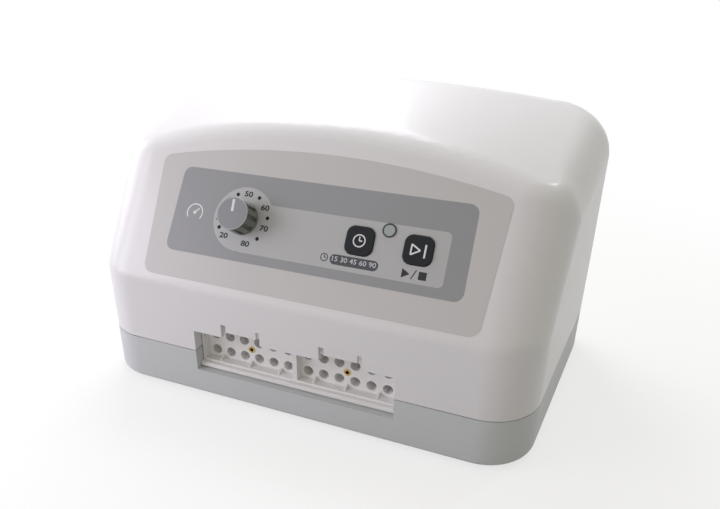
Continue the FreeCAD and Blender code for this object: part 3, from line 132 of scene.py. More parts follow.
# %% World
FILL_LIGHT = "#b2afa4"
world = bpy.data.worlds.new("studio")
bpy.context.scene.world = world
world.use_nodes = True
world.node_tree.nodes.clear()
ray = add_node(world.node_tree, "ShaderNodeLightPath", {})
seen = add_node(world.node_tree, "ShaderNodeMath", {0: ray.outputs["Is Camera Ray"], 1: ray.outputs["Is Glossy Ray"]},
                operation="MAXIMUM")
seen = add_node(world.node_tree, "ShaderNodeMath", {0: seen.outputs[0], 1: ray.outputs["Is Transmission Ray"]},
                operation="MAXIMUM")
tone = add_node(world.node_tree, "ShaderNodeMix", {0: seen.outputs[0], 6: linear(FILL_LIGHT), 7: linear("#ffffff")},
                data_type="RGBA")
sky = add_node(world.node_tree, "ShaderNodeBackground", {"Color": tone.outputs[2], "Strength": 1.0})
add_node(world.node_tree, "ShaderNodeOutputWorld", {"Surface": sky.outputs["Background"]})

# %% Lamps
def soft_lamp(name, place, aim, size, power, colour):
    """A square area lamp that looks at a point."""
    turn = (Vector(aim) - Vector(place)).to_track_quat("-Z", "Y").to_euler()
    bpy.ops.object.light_add(type="AREA", location=place, rotation=turn)
    lamp = bpy.context.object
    lamp.name = name
    lamp.data.size = size
    lamp.data.energy = power
    lamp.data.color = linear(colour)[:3]
    lamp.visible_camera = False


MIDDLE = (cad_low + cad_high) / 2
soft_lamp("lamp_front_left", (-0.60, -0.45, 0.30), MIDDLE, 0.40, 2.3, "#f0ecff")
soft_lamp("lamp_left", (-0.85, 0.05, 0.30), MIDDLE, 0.40, 1.3, "#fbfdfa")
soft_lamp("lamp_behind", (-0.30, 0.45, 0.75), MIDDLE, 0.50, 4.7, "#f7f7ff")
soft_lamp("lamp_bays", (-0.40, -0.85, 0.15), MIDDLE, 0.50, 0.7, "#fff3fa")
soft_lamp("lamp_glint", (0.48, 0.44, 0.83), MIDDLE, 0.10, 0.80, "#f2f8ff")

# %% Floor
FLOOR_SIZE = 12.0
bpy.ops.object.select_all(action="DESELECT")
bpy.ops.mesh.primitive_plane_add(size=FLOOR_SIZE, location=(0, 0, cad_low.z))
floor = bpy.context.object
floor.name = "floor"
bpy.ops.object.transform_apply(location=True, rotation=True, scale=True)
# How white the floor is beside the pump, and from where to where, in metres, it fades to plain white.
NEAR_WHITE, FADE_START, FADE_END = 0.68, 0.22, 0.58
FLOOR_BOUNCE, FLOOR_SEEN = "#b4b4b5", "#fafafa"
paper = bpy.data.materials.new("white_paper_sweep")
paper.use_nodes = True
tree = paper.node_tree
sheet_shader = tree.nodes["Principled BSDF"]
sheet_shader.inputs["Roughness"].default_value = 0.9
sheet_shader.inputs["Specular IOR Level"].default_value = 0.1
ray = add_node(tree, "ShaderNodeLightPath", {})
seen = add_node(tree, "ShaderNodeMath", {0: ray.outputs["Is Camera Ray"], 1: ray.outputs["Is Glossy Ray"]},
                operation="MAXIMUM").outputs[0]
tone = add_node(tree, "ShaderNodeMix", {0: seen, 6: linear(FLOOR_BOUNCE), 7: linear(FLOOR_SEEN)}, data_type="RGBA")
tree.links.new(tone.outputs[2], sheet_shader.inputs["Base Color"])
spot = add_node(tree, "ShaderNodeTexCoord", {}).outputs["Object"]
distance = add_node(tree, "ShaderNodeVectorMath", {0: spot}, operation="LENGTH")
fade = add_node(tree, "ShaderNodeMapRange", {"Value": distance.outputs["Value"], "From Min": FADE_START,
                                             "From Max": FADE_END, "To Min": NEAR_WHITE, "To Max": 1.0},
                interpolation_type="SMOOTHSTEP")
share = add_node(tree, "ShaderNodeMath", {0: fade.outputs["Result"], 1: seen}, operation="MULTIPLY")
glow = add_node(tree, "ShaderNodeEmission", {"Color": (1.0, 1.0, 1.0, 1.0), "Strength": 1.0})
both = add_node(tree, "ShaderNodeMixShader",
                {0: share.outputs[0], 1: sheet_shader.outputs["BSDF"], 2: glow.outputs["Emission"]})
tree.links.new(both.outputs["Shader"], tree.nodes["Material Output"].inputs["Surface"])
floor.data.materials.append(paper)
bpy.context.scene.view_settings.view_transform = "Standard"

# %% [markdown]
# ## Finishes
# Most of the pump is injection moulded. Such a part is never one flat colour: the mould is spark eroded, so the
# skin has a fine grain that breaks up highlights, the resin's colour drifts a little, and hands polish some areas.
# One function makes that surface, and each real material gives it its own colour, grain and gloss.

# %% A moulded or printed surface
def skin(name, colour, roughness, grain_mm, relief_mm, drift=0.03, drift_mm=40.0, **shader):
    """A material whose colour and gloss drift slowly, with a fine grain in relief."""
    material = bpy.data.materials.new(name)
    material.use_nodes = True
    tree = material.node_tree
    surface = tree.nodes["Principled BSDF"]
    place = add_node(tree, "ShaderNodeTexCoord", {}).outputs["Object"]
    slow = add_node(tree, "ShaderNodeTexNoise",
                    {"Vector": place, "Scale": 1 / (drift_mm * MM), "Detail": 3.0, "Roughness": 0.55})
    dark = [channel * (1 - drift) for channel in linear(colour)[:3]] + [1.0]
    light = [min(1.0, channel * (1 + drift)) for channel in linear(colour)[:3]] + [1.0]
    tint = add_node(tree, "ShaderNodeMix", {0: slow.outputs["Fac"], 6: dark, 7: light}, data_type="RGBA")
    gloss = add_node(tree, "ShaderNodeMapRange",
                     {"Value": slow.outputs["Fac"], "To Min": roughness - 0.05, "To Max": roughness + 0.05})
    grain = add_node(tree, "ShaderNodeTexNoise",
                     {"Vector": place, "Scale": 1 / (grain_mm * MM), "Detail": 2.0, "Roughness": 0.6})
    relief = add_node(tree, "ShaderNodeBump",
                      {"Height": grain.outputs["Fac"], "Distance": relief_mm * MM, "Strength": 1.0})
    tree.links.new(tint.outputs[2], surface.inputs["Base Color"])
    tree.links.new(gloss.outputs["Result"], surface.inputs["Roughness"])
    tree.links.new(relief.outputs["Normal"], surface.inputs["Normal"])
    for socket, value in shader.items():
        surface.inputs[socket.replace("_", " ")].default_value = value
    return material


# %% Materials of the housing
abs_white = skin("moulded_abs_white", "#e4e3e5", 0.42, 0.9, 0.008, drift=0.012, Specular_IOR_Level=0.45,
                 Coat_Weight=0.2, Coat_Roughness=0.14)
abs_grey = skin("moulded_abs_grey", "#cbced0", 0.50, 0.9, 0.012, drift=0.015, Specular_IOR_Level=0.45)
abs_port = skin("moulded_abs_offwhite", "#ecebea", 0.48, 0.8, 0.010, drift=0.02, Specular_IOR_Level=0.45)
print("materials so far:", len(bpy.data.materials))

# %% [markdown]
# ## Shells with smooth curves
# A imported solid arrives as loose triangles, one patch per face, with shading normals stored on each. A copy of the
# mesh drops those normals, is welded, and is then shaded smooth wherever two triangles meet at less than a chosen
# angle. Edges that are sharper than that stay sharp. The copy stands in for the solid and doesn't leave its place.

# %% Welded, smooth-shaded copies
WELD = 0.002 * MM
SMOOTH_ANGLE = math.radians(32)


def only(piece):
    """Deselects all and makes one object the active and selected one."""
    bpy.ops.object.select_all(action="DESELECT")
    piece.select_set(True)
    bpy.context.view_layer.objects.active = piece


def body_of(node):
    return nodes[node]["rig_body"]


def smooth(piece, angle=SMOOTH_ANGLE):
    """Smooth shading, weighted by area so that flat faces stay flat up to their rounded edges."""
    only(piece)
    bpy.ops.object.shade_smooth_by_angle(angle=angle)
    weights = piece.modifiers.new("weights", "WEIGHTED_NORMAL")
    weights.keep_sharp = True
    bpy.ops.object.modifier_apply(modifier=weights.name)


def welded_copy(node, material, angle=SMOOTH_ANGLE):
    piece = bpy.data.objects.new(node + "_finish", nodes[node].data.copy())
    bpy.context.scene.collection.objects.link(piece)
    only(piece)
    bpy.ops.mesh.customdata_custom_splitnormals_clear()
    bpy.ops.object.mode_set(mode="EDIT")
    bpy.ops.mesh.select_all(action="SELECT")
    bpy.ops.mesh.remove_doubles(threshold=WELD)
    bpy.ops.object.mode_set(mode="OBJECT")
    smooth(piece, angle)
    piece.data.materials.clear()
    piece.data.materials.append(material)
    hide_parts(node)
    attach(piece, body_of(node))
    return piece


upper = welded_copy("upper_housing", abs_white)
welded_copy("base_housing", abs_grey)
welded_copy("port_block", abs_port)
welded_copy("keying_tabs", abs_white)
print("triangles in the upper housing:", len(upper.data.polygons))

# %% [markdown]
# ## The printed overlay
# The overlay is one polyester film, printed on its back in two greys, with a velvet face. Ink is a few hundredths
# of a millimetre thick, so each printed area is made as a real, very thin sheet that stands a hair above the film.
# All of it is drawn on the panel's own plane. The knob's joint gives that plane: its axis points straight out of
# the panel, and its place is the middle of the dial.

# %% The panel's plane
knob_turn = next(joint for joint in frame["joints"] if joint["name"] == "knob_turn")
dial_middle = Vector(knob_turn["pos_m"])
outward = Vector(knob_turn["axis"]).normalized()
rightward = Vector((1, 0, 0))
upward = outward.cross(rightward)
PANEL = Matrix.Translation(dial_middle) @ Matrix((rightward, upward, outward)).transposed().to_4x4()


def height_of(node, pick=max):
    """How far a node's highest point, or with min its lowest, stands out of the panel's plane, in millimetres."""
    return pick(outward.dot(vertex.co - dial_middle) for vertex in nodes[node].data.vertices) / MM


def centre_of(node):
    """A node's middle on the panel, in millimetres right of and above the dial's middle."""
    low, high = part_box(node)
    across = (low + high) / 2 - dial_middle
    return across.dot(rightward) / MM, across.dot(upward) / MM


FILM_FACE = height_of("control_overlay")
print("film stands out by", round(FILM_FACE, 3), "mm; time key at", [round(c, 1) for c in centre_of("time_key")])

# %% Films and inks
film_light = skin("polyester_film_light", "#cccaca", 0.42, 0.7, 0.006, drift=0.012, Specular_IOR_Level=0.4)
film_dark = skin("polyester_film_dark", "#999a9d", 0.42, 0.7, 0.006, drift=0.02, Specular_IOR_Level=0.4)
film_band = skin("polyester_film_band", "#babbbc", 0.42, 0.7, 0.006, drift=0.02, Specular_IOR_Level=0.4)
ink_dark = skin("screen_ink_dark", "#303136", 0.5, 0.5, 0.002, drift=0.05, Specular_IOR_Level=0.3)
ink_black = skin("screen_ink_black", "#16171a", 0.5, 0.5, 0.002, drift=0.05, Specular_IOR_Level=0.2)
ink_white = skin("screen_ink_white", "#e6e7e9", 0.5, 0.5, 0.002, drift=0.02)
INK = 0.02
overlay = welded_copy("control_overlay", film_light)

# %% [markdown]
# The solid keeps a gap to the edge of its seat in the housing, which would draw a dark line round the film. The copy
# is stretched in the panel's plane until only a hair of that gap is left.

# %% The film's edge
FILM_GROWTH = 0.15
flat_film = [PANEL.inverted() @ vertex.co for vertex in overlay.data.vertices]
film_size = [max(point[axis] for point in flat_film) - min(point[axis] for point in flat_film) for axis in (0, 1)]
film_middle = Vector((*centre_of("control_overlay"), 0)) * MM
stretch = Matrix.Diagonal([1 + 2 * FILM_GROWTH * MM / side for side in film_size] + [1, 1])
recentre = PANEL @ Matrix.Translation(film_middle)
overlay.data.transform(recentre @ stretch @ recentre.inverted())

# %% [markdown]
# A printed area starts as a plane primitive. It is stretched to its size, its corners are rounded by a vertex bevel,
# and it is extruded to its thickness. Holes for keys, lens and window are cut with a Boolean modifier, by plates
# that are made the same way. Only then is it laid on the panel and its place written into the mesh.

# %% Thin printed sheets
def thicken(name, corner, centre, top, thickness):
    """Rounds the corners of the flat face in edit mode, places it, and gives it its thickness."""
    if corner > 0:
        bpy.ops.mesh.bevel(offset=corner, segments=10, affect="VERTICES")
    bpy.ops.mesh.select_all(action="SELECT")
    bpy.ops.transform.translate(value=(centre[0], centre[1], top))
    bpy.ops.mesh.extrude_region_move(TRANSFORM_OT_translate={"value": (0, 0, -thickness)})
    bpy.ops.mesh.select_all(action="SELECT")
    bpy.ops.mesh.normals_make_consistent(inside=False)
    bpy.ops.object.mode_set(mode="OBJECT")
    bpy.context.object.name = name
    return bpy.context.object


def sheet(name, centre, size, corner, top, thickness):
    """A thin plate in panel millimetres. Its upper face is at height top."""
    bpy.ops.object.select_all(action="DESELECT")
    bpy.ops.mesh.primitive_plane_add(size=1)
    bpy.ops.object.mode_set(mode="EDIT")
    bpy.ops.mesh.select_all(action="SELECT")
    bpy.ops.transform.resize(value=(size[0], size[1], 1))
    return thicken(name, corner, centre, top, thickness)


def triangle(name, centre, reach, corner, top, thickness):
    """A thin triangle that points right. Its corners lie at reach from its centre before they are rounded."""
    bpy.ops.object.select_all(action="DESELECT")
    bpy.ops.mesh.primitive_circle_add(vertices=3, radius=reach, fill_type="NGON")
    bpy.ops.object.mode_set(mode="EDIT")
    bpy.ops.mesh.select_all(action="SELECT")
    bpy.ops.transform.rotate(value=math.radians(90), orient_axis="Z", center_override=(0, 0, 0))
    return thicken(name, corner, centre, top, thickness)


def disc(name, centre, radius, top, thickness, sides=96):
    bpy.ops.object.select_all(action="DESELECT")
    place = (centre[0], centre[1], top - thickness / 2)
    bpy.ops.mesh.primitive_cylinder_add(vertices=sides, radius=radius, depth=thickness, location=place)
    bpy.context.object.name = name
    bpy.ops.object.transform_apply(location=True, rotation=True, scale=True)
    return bpy.context.object


def combine(piece, other, operation):
    """Cuts, joins or intersects with another closed mesh, which is used up."""
    only(piece)
    change = piece.modifiers.new("combine", "BOOLEAN")
    change.operation = operation
    change.solver = "EXACT"
    change.object = other
    bpy.ops.object.modifier_apply(modifier=change.name)
    bpy.data.objects.remove(other)


def lay(piece, material, body="housing", plane=PANEL):
    """Millimetres on a plane become metres in the model, written into the mesh."""
    only(piece)
    piece.matrix_world = plane @ Matrix.Scale(MM, 4) @ piece.matrix_world
    bpy.ops.object.transform_apply(location=True, rotation=True, scale=True)
    piece.data.materials.clear()
    piece.data.materials.append(material)
    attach(piece, body)
    return piece


# %% What the printed sheets leave free
KEY_CORNER = 5.0
KEY_HOLE = 16.8
LENS_HOLE_RADIUS = 3.8
TIMER_HOLE, TIMER_HOLE_CORNER = (28.4, 5.9), 2.94
KNOB_HOLE_RADIUS = 4.95
CUT_TOP, CUT_DEPTH = 1.0, 2.0       # of a cutter, which reaches past every printed sheet on both sides


def cut_apertures(plate):
    """Cuts the openings of the panel's controls out of a printed sheet."""
    for key in ("time_key", "start_key"):
        key_hole = sheet("hole", centre_of(key), (KEY_HOLE, KEY_HOLE), KEY_CORNER, CUT_TOP, CUT_DEPTH)
        combine(plate, key_hole, "DIFFERENCE")
    combine(plate, disc("hole", centre_of("run_indicator"), LENS_HOLE_RADIUS, CUT_TOP, CUT_DEPTH), "DIFFERENCE")
    timer_hole = sheet("hole", centre_of("timer_strip"), TIMER_HOLE, TIMER_HOLE_CORNER, CUT_TOP, CUT_DEPTH)
    combine(plate, timer_hole, "DIFFERENCE")
    combine(plate, disc("hole", (0, 0), KNOB_HOLE_RADIUS, CUT_TOP, CUT_DEPTH), "DIFFERENCE")


# %% Dark zone and lighter band
ZONE_CENTRE, ZONE_SIZE, ZONE_CORNER = (43.85, 1.0), (182.7, 52.7), 5.4
dark_zone = sheet("dark_zone", ZONE_CENTRE, ZONE_SIZE, ZONE_CORNER, FILM_FACE + INK, 2 * INK)
cut_apertures(dark_zone)
lay(dark_zone, film_dark)

BAND_RIGHT, BAND_LOW, BAND_HIGH, BAND_CORNER = 123.5, -19.75, 10.5, 3.0
DIAL_CENTRE, DIAL_RADIUS = (-0.2, -0.1), 19.45
band_size = (BAND_RIGHT, BAND_HIGH - BAND_LOW)
band_middle = (BAND_RIGHT / 2, (BAND_HIGH + BAND_LOW) / 2)
BAND_FACE = FILM_FACE + 2 * INK
band = sheet("light_band", band_middle, band_size, BAND_CORNER, BAND_FACE, 2 * INK)
combine(band, disc("dial_disc", DIAL_CENTRE, DIAL_RADIUS, BAND_FACE, 2 * INK), "UNION")
cut_apertures(band)
lay(band, film_band)
print("printed areas:", len(dark_zone.data.polygons), len(band.data.polygons), "faces")

# %% [markdown]
# ## Dial marks
# The scale runs round the knob. Numbers stand upright at every ten, with a dot half way between. The regulator isn't
# linear, so each mark has an angle of its own, counted in degrees from the right.

# %% Numbers and dots
MARK_ANGLES = {20: 229, 25: 206, 30: 185, 35: 161, 40: 138, 45: 116, 50: 90, 55: 62, 60: 34, 65: 10, 70: -14, 75: -40,
               80: -70}
NUMBER_CIRCLE, DOT_CIRCLE = 15.2, 15.85
DOT_RADIUS = 1.15
NUMBER_HEIGHT, NUMBER_WIDENING, NUMBER_GROWTH = 3.2, 1.25, 0.14
DIGIT_SHARE = 0.72                  # a digit's height as a share of the font's size


def on_dial(value, radius):
    angle = math.radians(MARK_ANGLES[value])
    return DIAL_CENTRE[0] + radius * math.cos(angle), DIAL_CENTRE[1] + radius * math.sin(angle)


def lettering(name, words, centre, height, widening, growth, top, material):
    """Numbers as thin meshes, centred on a point of the panel. Their strokes grow by growth on each side."""
    bpy.ops.object.select_all(action="DESELECT")
    bpy.ops.object.text_add(location=(0, 0, 0))
    text = bpy.context.object
    text.name = name
    text.data.body = words
    text.data.align_x = "CENTER"
    text.data.align_y = "CENTER"
    text.data.size = height / DIGIT_SHARE
    text.data.extrude = INK
    text.data.offset = growth
    text.data.resolution_u = 8
    bpy.ops.object.convert(target="MESH")
    text = bpy.context.object
    text.scale.x = widening
    text.location = (centre[0], centre[1], top - INK)
    bpy.ops.object.transform_apply(location=True, rotation=True, scale=True)
    return lay(text, material)


def join(pieces, name):
    bpy.ops.object.select_all(action="DESELECT")
    for piece in pieces:
        piece.select_set(True)
    bpy.context.view_layer.objects.active = pieces[0]
    bpy.ops.object.join()
    pieces[0].name = name
    return pieces[0]


PRINT_FACE = FILM_FACE + 3 * INK
numbers = [lettering("number", str(value), on_dial(value, NUMBER_CIRCLE), NUMBER_HEIGHT, NUMBER_WIDENING,
                     NUMBER_GROWTH, PRINT_FACE, ink_dark) for value in range(20, 90, 10)]
join(numbers, "dial_numbers")
dots = [lay(disc("dot", on_dial(value, DOT_CIRCLE), DOT_RADIUS, PRINT_FACE, 2 * INK, 24), ink_black)
        for value in range(25, 85, 10)]
join(dots, "dial_dots")
print("numbers:", len(numbers), "dots:", len(dots))

# %% [markdown]
# ## Keys and their signs
# The keys are moulded in a near-black resin with a half-gloss face. Their signs are plain: a clock on the time key,
# and a triangle with a bar on the start key. Each sign is ink, so it is built like the other prints, but it rides
# with its key.

# %% Keys
key_resin = skin("moulded_pc_black", "#1d1f23", 0.42, 0.6, 0.006, drift=0.06, Specular_IOR_Level=0.22)
for key in ("time_key", "start_key"):
    welded_copy(key, key_resin)


def ring(name, centre, radius, width, top, thickness, sides=96):
    """A flat ring, as a disc with a smaller disc cut out of it."""
    outer = disc(name, centre, radius, top, thickness, sides)
    inner = disc("hole", centre, radius - width, top + CUT_TOP, thickness + CUT_DEPTH, sides)
    combine(outer, inner, "DIFFERENCE")
    return outer


def bar(name, start, end, width, top, thickness):
    """A straight stroke from one panel point to another."""
    run = Vector(end) - Vector(start)
    stroke = sheet(name, (0, 0), (run.length, width), 0, top, thickness)
    stroke.rotation_euler.z = math.atan2(run.y, run.x)
    stroke.location = ((start[0] + end[0]) / 2, (start[1] + end[1]) / 2, 0)
    only(stroke)
    bpy.ops.object.transform_apply(location=True, rotation=True, scale=True)
    return stroke


def clock(name, centre, radius, width, top, material, body):
    x, y = centre
    strokes = [ring(name, centre, radius, width, top, 2 * INK, 64),
               bar(name, centre, (x, y + 0.62 * radius), width, top, 2 * INK),
               bar(name, centre, (x + 0.48 * radius, y), width, top, 2 * INK)]
    return join([lay(stroke, material, body) for stroke in strokes], name)


KEY_FACE = height_of("time_key") + INK
CLOCK_RADIUS, CLOCK_STROKE = 3.7, 0.7
clock("time_sign", centre_of("time_key"), CLOCK_RADIUS, CLOCK_STROKE, KEY_FACE, ink_white, "time_button")
start_x, start_y = centre_of("start_key")
GO_REACH, TIP_CORNER, INNER_CORNER, STROKE = 4.2, 1.3, 0.4, 0.85
go_centre = (start_x - 2.1, start_y)
go = triangle("start_sign", go_centre, GO_REACH, TIP_CORNER, KEY_FACE, 2 * INK)
go_hole = triangle("hole", go_centre, GO_REACH - 2 * STROKE, INNER_CORNER, KEY_FACE + CUT_TOP, CUT_DEPTH)
combine(go, go_hole, "DIFFERENCE")
lay(go, ink_white, "start_button")
stop_bar = sheet("stop_bar", (start_x + 3.9, start_y - 0.1), (1.0, 7.5), 0.49, KEY_FACE, 2 * INK)
lay(stop_bar, ink_white, "start_button")
join([go, stop_bar], "start_sign")

# %% [markdown]
# ## Knob, lens and timer window
# The knob is a slightly tapered cylinder with ten narrow flutes for grip and a plain rim at its foot. The flutes are
# round cutters that stand in a circle and cut with a Boolean, and a bevel softens the ribs between them. A lighter
# cap with a paler edge is pressed onto its top, and the pointer is a white inlay in the cap.
# The lens is frosted, with a dark rim, and the timer window is smoked, with its five steps printed on it.

# %% Knob
knob_resin = skin("moulded_nylon_dark", "#73756d", 0.36, 0.5, 0.006, drift=0.05, Specular_IOR_Level=0.6)
cap_resin = skin("satin_abs_mid_grey", "#909195", 0.38, 0.5, 0.004, drift=0.02, Specular_IOR_Level=0.4)
edge_resin = skin("satin_abs_pale_grey", "#acadb0", 0.30, 0.5, 0.003, drift=0.02, Specular_IOR_Level=0.5)
FOOT_RADIUS, NECK_RADIUS, FOOT_RIM = 9.75, 9.5, 1.0
FLUTES, FLUTE_RADIUS, FLUTE_DEPTH = 10, 1.35, 1.5
EDGE_RADIUS, EDGE_WIDTH, EDGE_HEIGHT, EDGE_DROP = 9.75, 1.2, 1.0, 0.12
knob_body = body_of("pressure_knob")


def round_off(piece, width):
    """Bevels the sharp edges of a piece."""
    only(piece)
    rounding = piece.modifiers.new("rounding", "BEVEL")
    rounding.width = width
    rounding.segments = 3
    rounding.limit_method = "ANGLE"
    bpy.ops.object.modifier_apply(modifier=rounding.name)


knob_low, knob_top = height_of("pressure_knob", min), height_of("pressure_knob")
bpy.ops.object.select_all(action="DESELECT")
bpy.ops.mesh.primitive_cone_add(vertices=120, radius1=FOOT_RADIUS, radius2=NECK_RADIUS, depth=knob_top - knob_low,
                                location=(0, 0, (knob_top + knob_low) / 2))
knob = bpy.context.object
knob.name = "knob_body"
bpy.ops.object.transform_apply(location=True, rotation=True, scale=True)
flute_circle = NECK_RADIUS + FLUTE_RADIUS - FLUTE_DEPTH
flute_length = knob_top + 1 - knob_low - FOOT_RIM
for index in range(FLUTES):
    angle = 2 * math.pi * index / FLUTES
    place = (flute_circle * math.cos(angle), flute_circle * math.sin(angle))
    combine(knob, disc("flute", place, FLUTE_RADIUS, knob_top + 1, flute_length, 48), "DIFFERENCE")
round_off(knob, 0.18)
lay(knob, knob_resin, knob_body)
smooth(knob)
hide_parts("pressure_knob")
cap_top = height_of("knob_cap")
cap_edge = ring("cap_edge", (0, 0), EDGE_RADIUS, EDGE_WIDTH, cap_top - EDGE_DROP, EDGE_HEIGHT, 120)
round_off(cap_edge, 0.35)
lay(cap_edge, edge_resin, knob_body)
smooth(cap_edge)
welded_copy("knob_cap", cap_resin)
welded_copy("knob_pointer", ink_white)

# %% Lens
lens_resin = skin("frosted_polycarbonate", "#a3a9aa", 0.3, 0.4, 0.004, drift=0.03, Coat_Weight=0.3)
rim_resin = skin("moulded_pc_rim", "#2b2d31", 0.35, 0.4, 0.004, drift=0.05)
welded_copy("run_indicator", lens_resin)
RIM_RADIUS, RIM_WIDTH, RIM_PROUD = 3.95, 0.8, 0.15
rim_top = height_of("run_indicator") + RIM_PROUD
rim = ring("indicator_rim", centre_of("run_indicator"), RIM_RADIUS, RIM_WIDTH, rim_top, rim_top - FILM_FACE)
round_off(rim, 0.12)
lay(rim, rim_resin)
smooth(rim)

# %% Timer window
smoked = skin("smoked_acrylic", "#3a3c44", 0.22, 0.6, 0.002, drift=0.04, Coat_Weight=0.4)
ink_pale = skin("screen_ink_pale", "#c9cacf", 0.5, 0.5, 0.002, drift=0.03)
welded_copy("timer_strip", smoked)
TIMER_MINUTES = (15, 30, 45, 60, 90)
TIMER_PITCH = 5.6
timer_x, timer_y = centre_of("timer_strip")
TIMER_FACE = height_of("timer_strip") + 2 * INK
MINUTES_HEIGHT, MINUTES_WIDENING, MINUTES_GROWTH, MINUTES_SHIFT = 2.8, 1.1, 0.05, -0.3
minutes = [lettering("minutes", str(value), (timer_x + MINUTES_SHIFT + (step - 2) * TIMER_PITCH, timer_y),
                     MINUTES_HEIGHT, MINUTES_WIDENING, MINUTES_GROWTH, TIMER_FACE, ink_pale)
           for step, value in enumerate(TIMER_MINUTES)]
join(minutes, "timer_numbers")

# %% [markdown]
# ## Small signs on the film
# Three places beside the controls carry a plain sign each: a gauge beside the dial, a small clock beside the timer,
# and a triangle and a square under the start key.

# %% Gauge, small clock, run and stop
GAUGE_CENTRE, GAUGE_RADIUS, GAUGE_STROKE = (-33.3, -0.6), 5.6, 0.75
SIGN_TOP = FILM_FACE + 2 * INK
gauge = ring("gauge_sign", GAUGE_CENTRE, GAUGE_RADIUS, GAUGE_STROKE, SIGN_TOP, 2 * INK)
foot = (GAUGE_CENTRE[0], GAUGE_CENTRE[1] - GAUGE_RADIUS)
combine(gauge, sheet("hole", foot, (8.4, 5.2), 0, 1.0, 2.0), "DIFFERENCE")
lay(gauge, ink_white)
needle_end = (GAUGE_CENTRE[0] + 2.6, GAUGE_CENTRE[1] + 2.8)
needle = lay(bar("needle", GAUGE_CENTRE, needle_end, GAUGE_STROKE, SIGN_TOP, 2 * INK), ink_white)
hub = lay(disc("hub", GAUGE_CENTRE, 1.1, SIGN_TOP, 2 * INK, 32), ink_white)
join([gauge, needle, hub], "gauge_sign")
clock("timer_sign", (timer_x - 17.6, timer_y), 2.3, 0.5, PRINT_FACE, ink_dark, "housing")
SIGN_HEIGHT = -15.05
run_sign = lay(triangle("run_sign", (start_x - 5.2, SIGN_HEIGHT), 3.0, 0.4, PRINT_FACE, 2 * INK), ink_dark)
stroke = lay(bar("stroke", (start_x - 1.3, SIGN_HEIGHT - 2.6), (start_x + 1.1, SIGN_HEIGHT + 2.6), 0.6,
                 PRINT_FACE, 2 * INK), ink_dark)
stop_sign = lay(sheet("stop_sign", (start_x + 4.8, SIGN_HEIGHT), (4.4, 4.4), 0.4, PRINT_FACE, 2 * INK), ink_dark)
join([run_sign, stroke, stop_sign], "run_stop_sign")

# %% [markdown]
# ## Metal, rubber and the mains parts
# The threaded inserts in the bays are brass, the feet are rubber, and the inlet and switch at the rear are black
# moulded parts. The switch carries the plain signs for on and off.

# %% Metals and rubber
brass = skin("turned_brass", "#bfa468", 0.33, 0.3, 0.003, drift=0.08, drift_mm=2.0, Metallic=1.0)
nickel = skin("nickel_plate", "#c9c6bf", 0.25, 0.3, 0.002, drift=0.04, drift_mm=3.0, Metallic=1.0)
zinc = skin("zinc_plated_steel", "#b9babb", 0.35, 0.4, 0.004, drift=0.08, drift_mm=3.0, Metallic=1.0)
rubber = skin("moulded_rubber_black", "#232324", 0.75, 0.5, 0.015, drift=0.08, Specular_IOR_Level=0.3)
nylon_black = skin("moulded_nylon_black", "#1d1d1f", 0.45, 0.5, 0.008, drift=0.08)
for node, material in (("port_inserts", brass), ("inlet_pins", nickel), ("inlet_screws", zinc), ("case_screws", zinc),
                       ("rubber_feet", rubber), ("mains_inlet", nylon_black), ("switch_bezel", nylon_black),
                       ("power_rocker", nylon_black)):
    welded_copy(node, material)

# %% [markdown]
# The rocker's two faces meet in a shallow fold. At rest the upper one stands upright and the lower one leans out.
# Each takes its sign on a plane of its own, counted from the rocker's pivot.

# %% Signs on the rocker
pivot = Vector(next(joint["pos_m"] for joint in frame["joints"] if joint["name"] == "power_rocker_tilt"))
FOLD = Vector((0, 4.543, 0.72)) * MM      # from the pivot
LOWER_LEAN = math.radians(18)
SIGN_FROM_FOLD = 3.5


def rocker_plane(lean, side):
    """A face of the rocker, seen from behind: its origin lies at the sign's place."""
    up_face = Vector((0, -math.sin(lean), math.cos(lean)))
    facing = Vector((0, math.cos(lean), math.sin(lean)))
    turned = Matrix((up_face.cross(facing), up_face, facing)).transposed().to_4x4()
    return Matrix.Translation(pivot + FOLD + side * SIGN_FROM_FOLD * MM * up_face) @ turned


on_sign = sheet("on_sign", (0, 0), (0.7, 4.2), 0, INK, 2 * INK)
lay(on_sign, ink_white, "rocker", plane=rocker_plane(0.0, 1))
off_sign = ring("off_sign", (0, 0), 2.1, 0.6, INK, 2 * INK, 64)
lay(off_sign, ink_white, "rocker", plane=rocker_plane(LOWER_LEAN, -1))

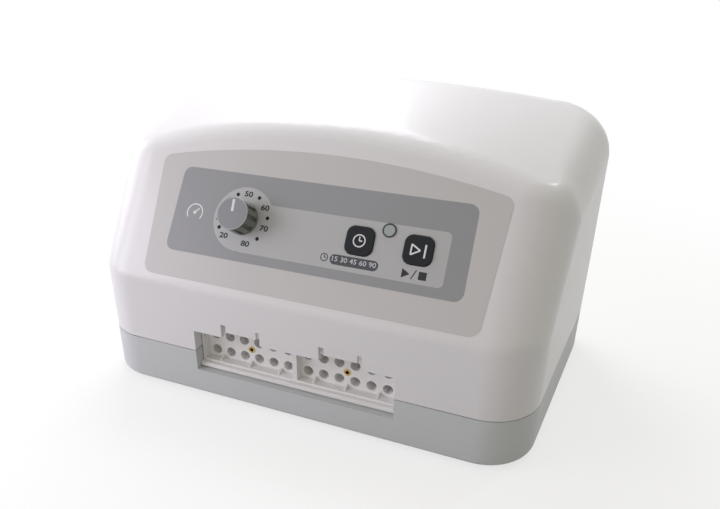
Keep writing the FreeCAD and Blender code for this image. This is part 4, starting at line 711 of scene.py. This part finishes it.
# %% [markdown]
# ## What is inside
# None of this shows while the housing is closed, but it is there, and each part still gets the finish of its real
# material, so that the model can be opened up.

# %% Inner parts
turned_aluminium = skin("turned_aluminium", "#b4b5b7", 0.5, 0.3, 0.003, drift=0.05, Metallic=1.0)
cast_aluminium = skin("die_cast_aluminium", "#a9aaac", 0.5, 0.8, 0.03, drift=0.08, Metallic=1.0)
drawn_steel = skin("drawn_steel_can", "#8f9092", 0.55, 0.4, 0.003, drift=0.05, Metallic=1.0)
silicon_steel = skin("varnished_silicon_steel", "#4c4a48", 0.55, 0.5, 0.03, drift=0.12, Metallic=0.6)
polyester_tape = skin("polyester_tape_yellow", "#c9a94a", 0.4, 1.0, 0.02, drift=0.06)
acetal = skin("machined_acetal", "#e3e1d8", 0.4, 0.4, 0.004, drift=0.02)
nylon_natural = skin("moulded_nylon_natural", "#c9c6bc", 0.5, 0.6, 0.008, drift=0.03)
solder_mask = skin("solder_mask_green", "#1f5a3a", 0.35, 0.6, 0.01, drift=0.06)
silicone = skin("extruded_silicone", "#d5d4cd", 0.45, 0.8, 0.004, drift=0.03, Subsurface_Weight=0.1)
clear_resin = skin("cast_epoxy_clear", "#e6dfc9", 0.2, 0.5, 0.001, drift=0.03)
inner_finishes = {
    "regulator_stem": turned_aluminium, "pressure_regulator": turned_aluminium, "regulator_nut": zinc,
    "time_plunger": nylon_black, "start_plunger": nylon_black, "tact_switches": nylon_black,
    "panel_lamps": clear_resin, "control_board": solder_mask, "board_screws": zinc, "board_components": nylon_black,
    "air_manifold": nylon_natural, "valve_rotor": acetal, "valve_gearmotor": drawn_steel,
    "valve_bracket": nylon_natural, "pump_body": cast_aluminium, "pump_heads": nylon_black,
    "pump_armature": drawn_steel, "pump_mounts": rubber, "supply_hose": silicone, "regulator_hose": silicone,
    "transformer_core": silicon_steel, "transformer_winding": polyester_tape, "transformer_bracket": zinc}
for node, material in inner_finishes.items():
    welded_copy(node, material)
print("inner parts finished:", len(inner_finishes))
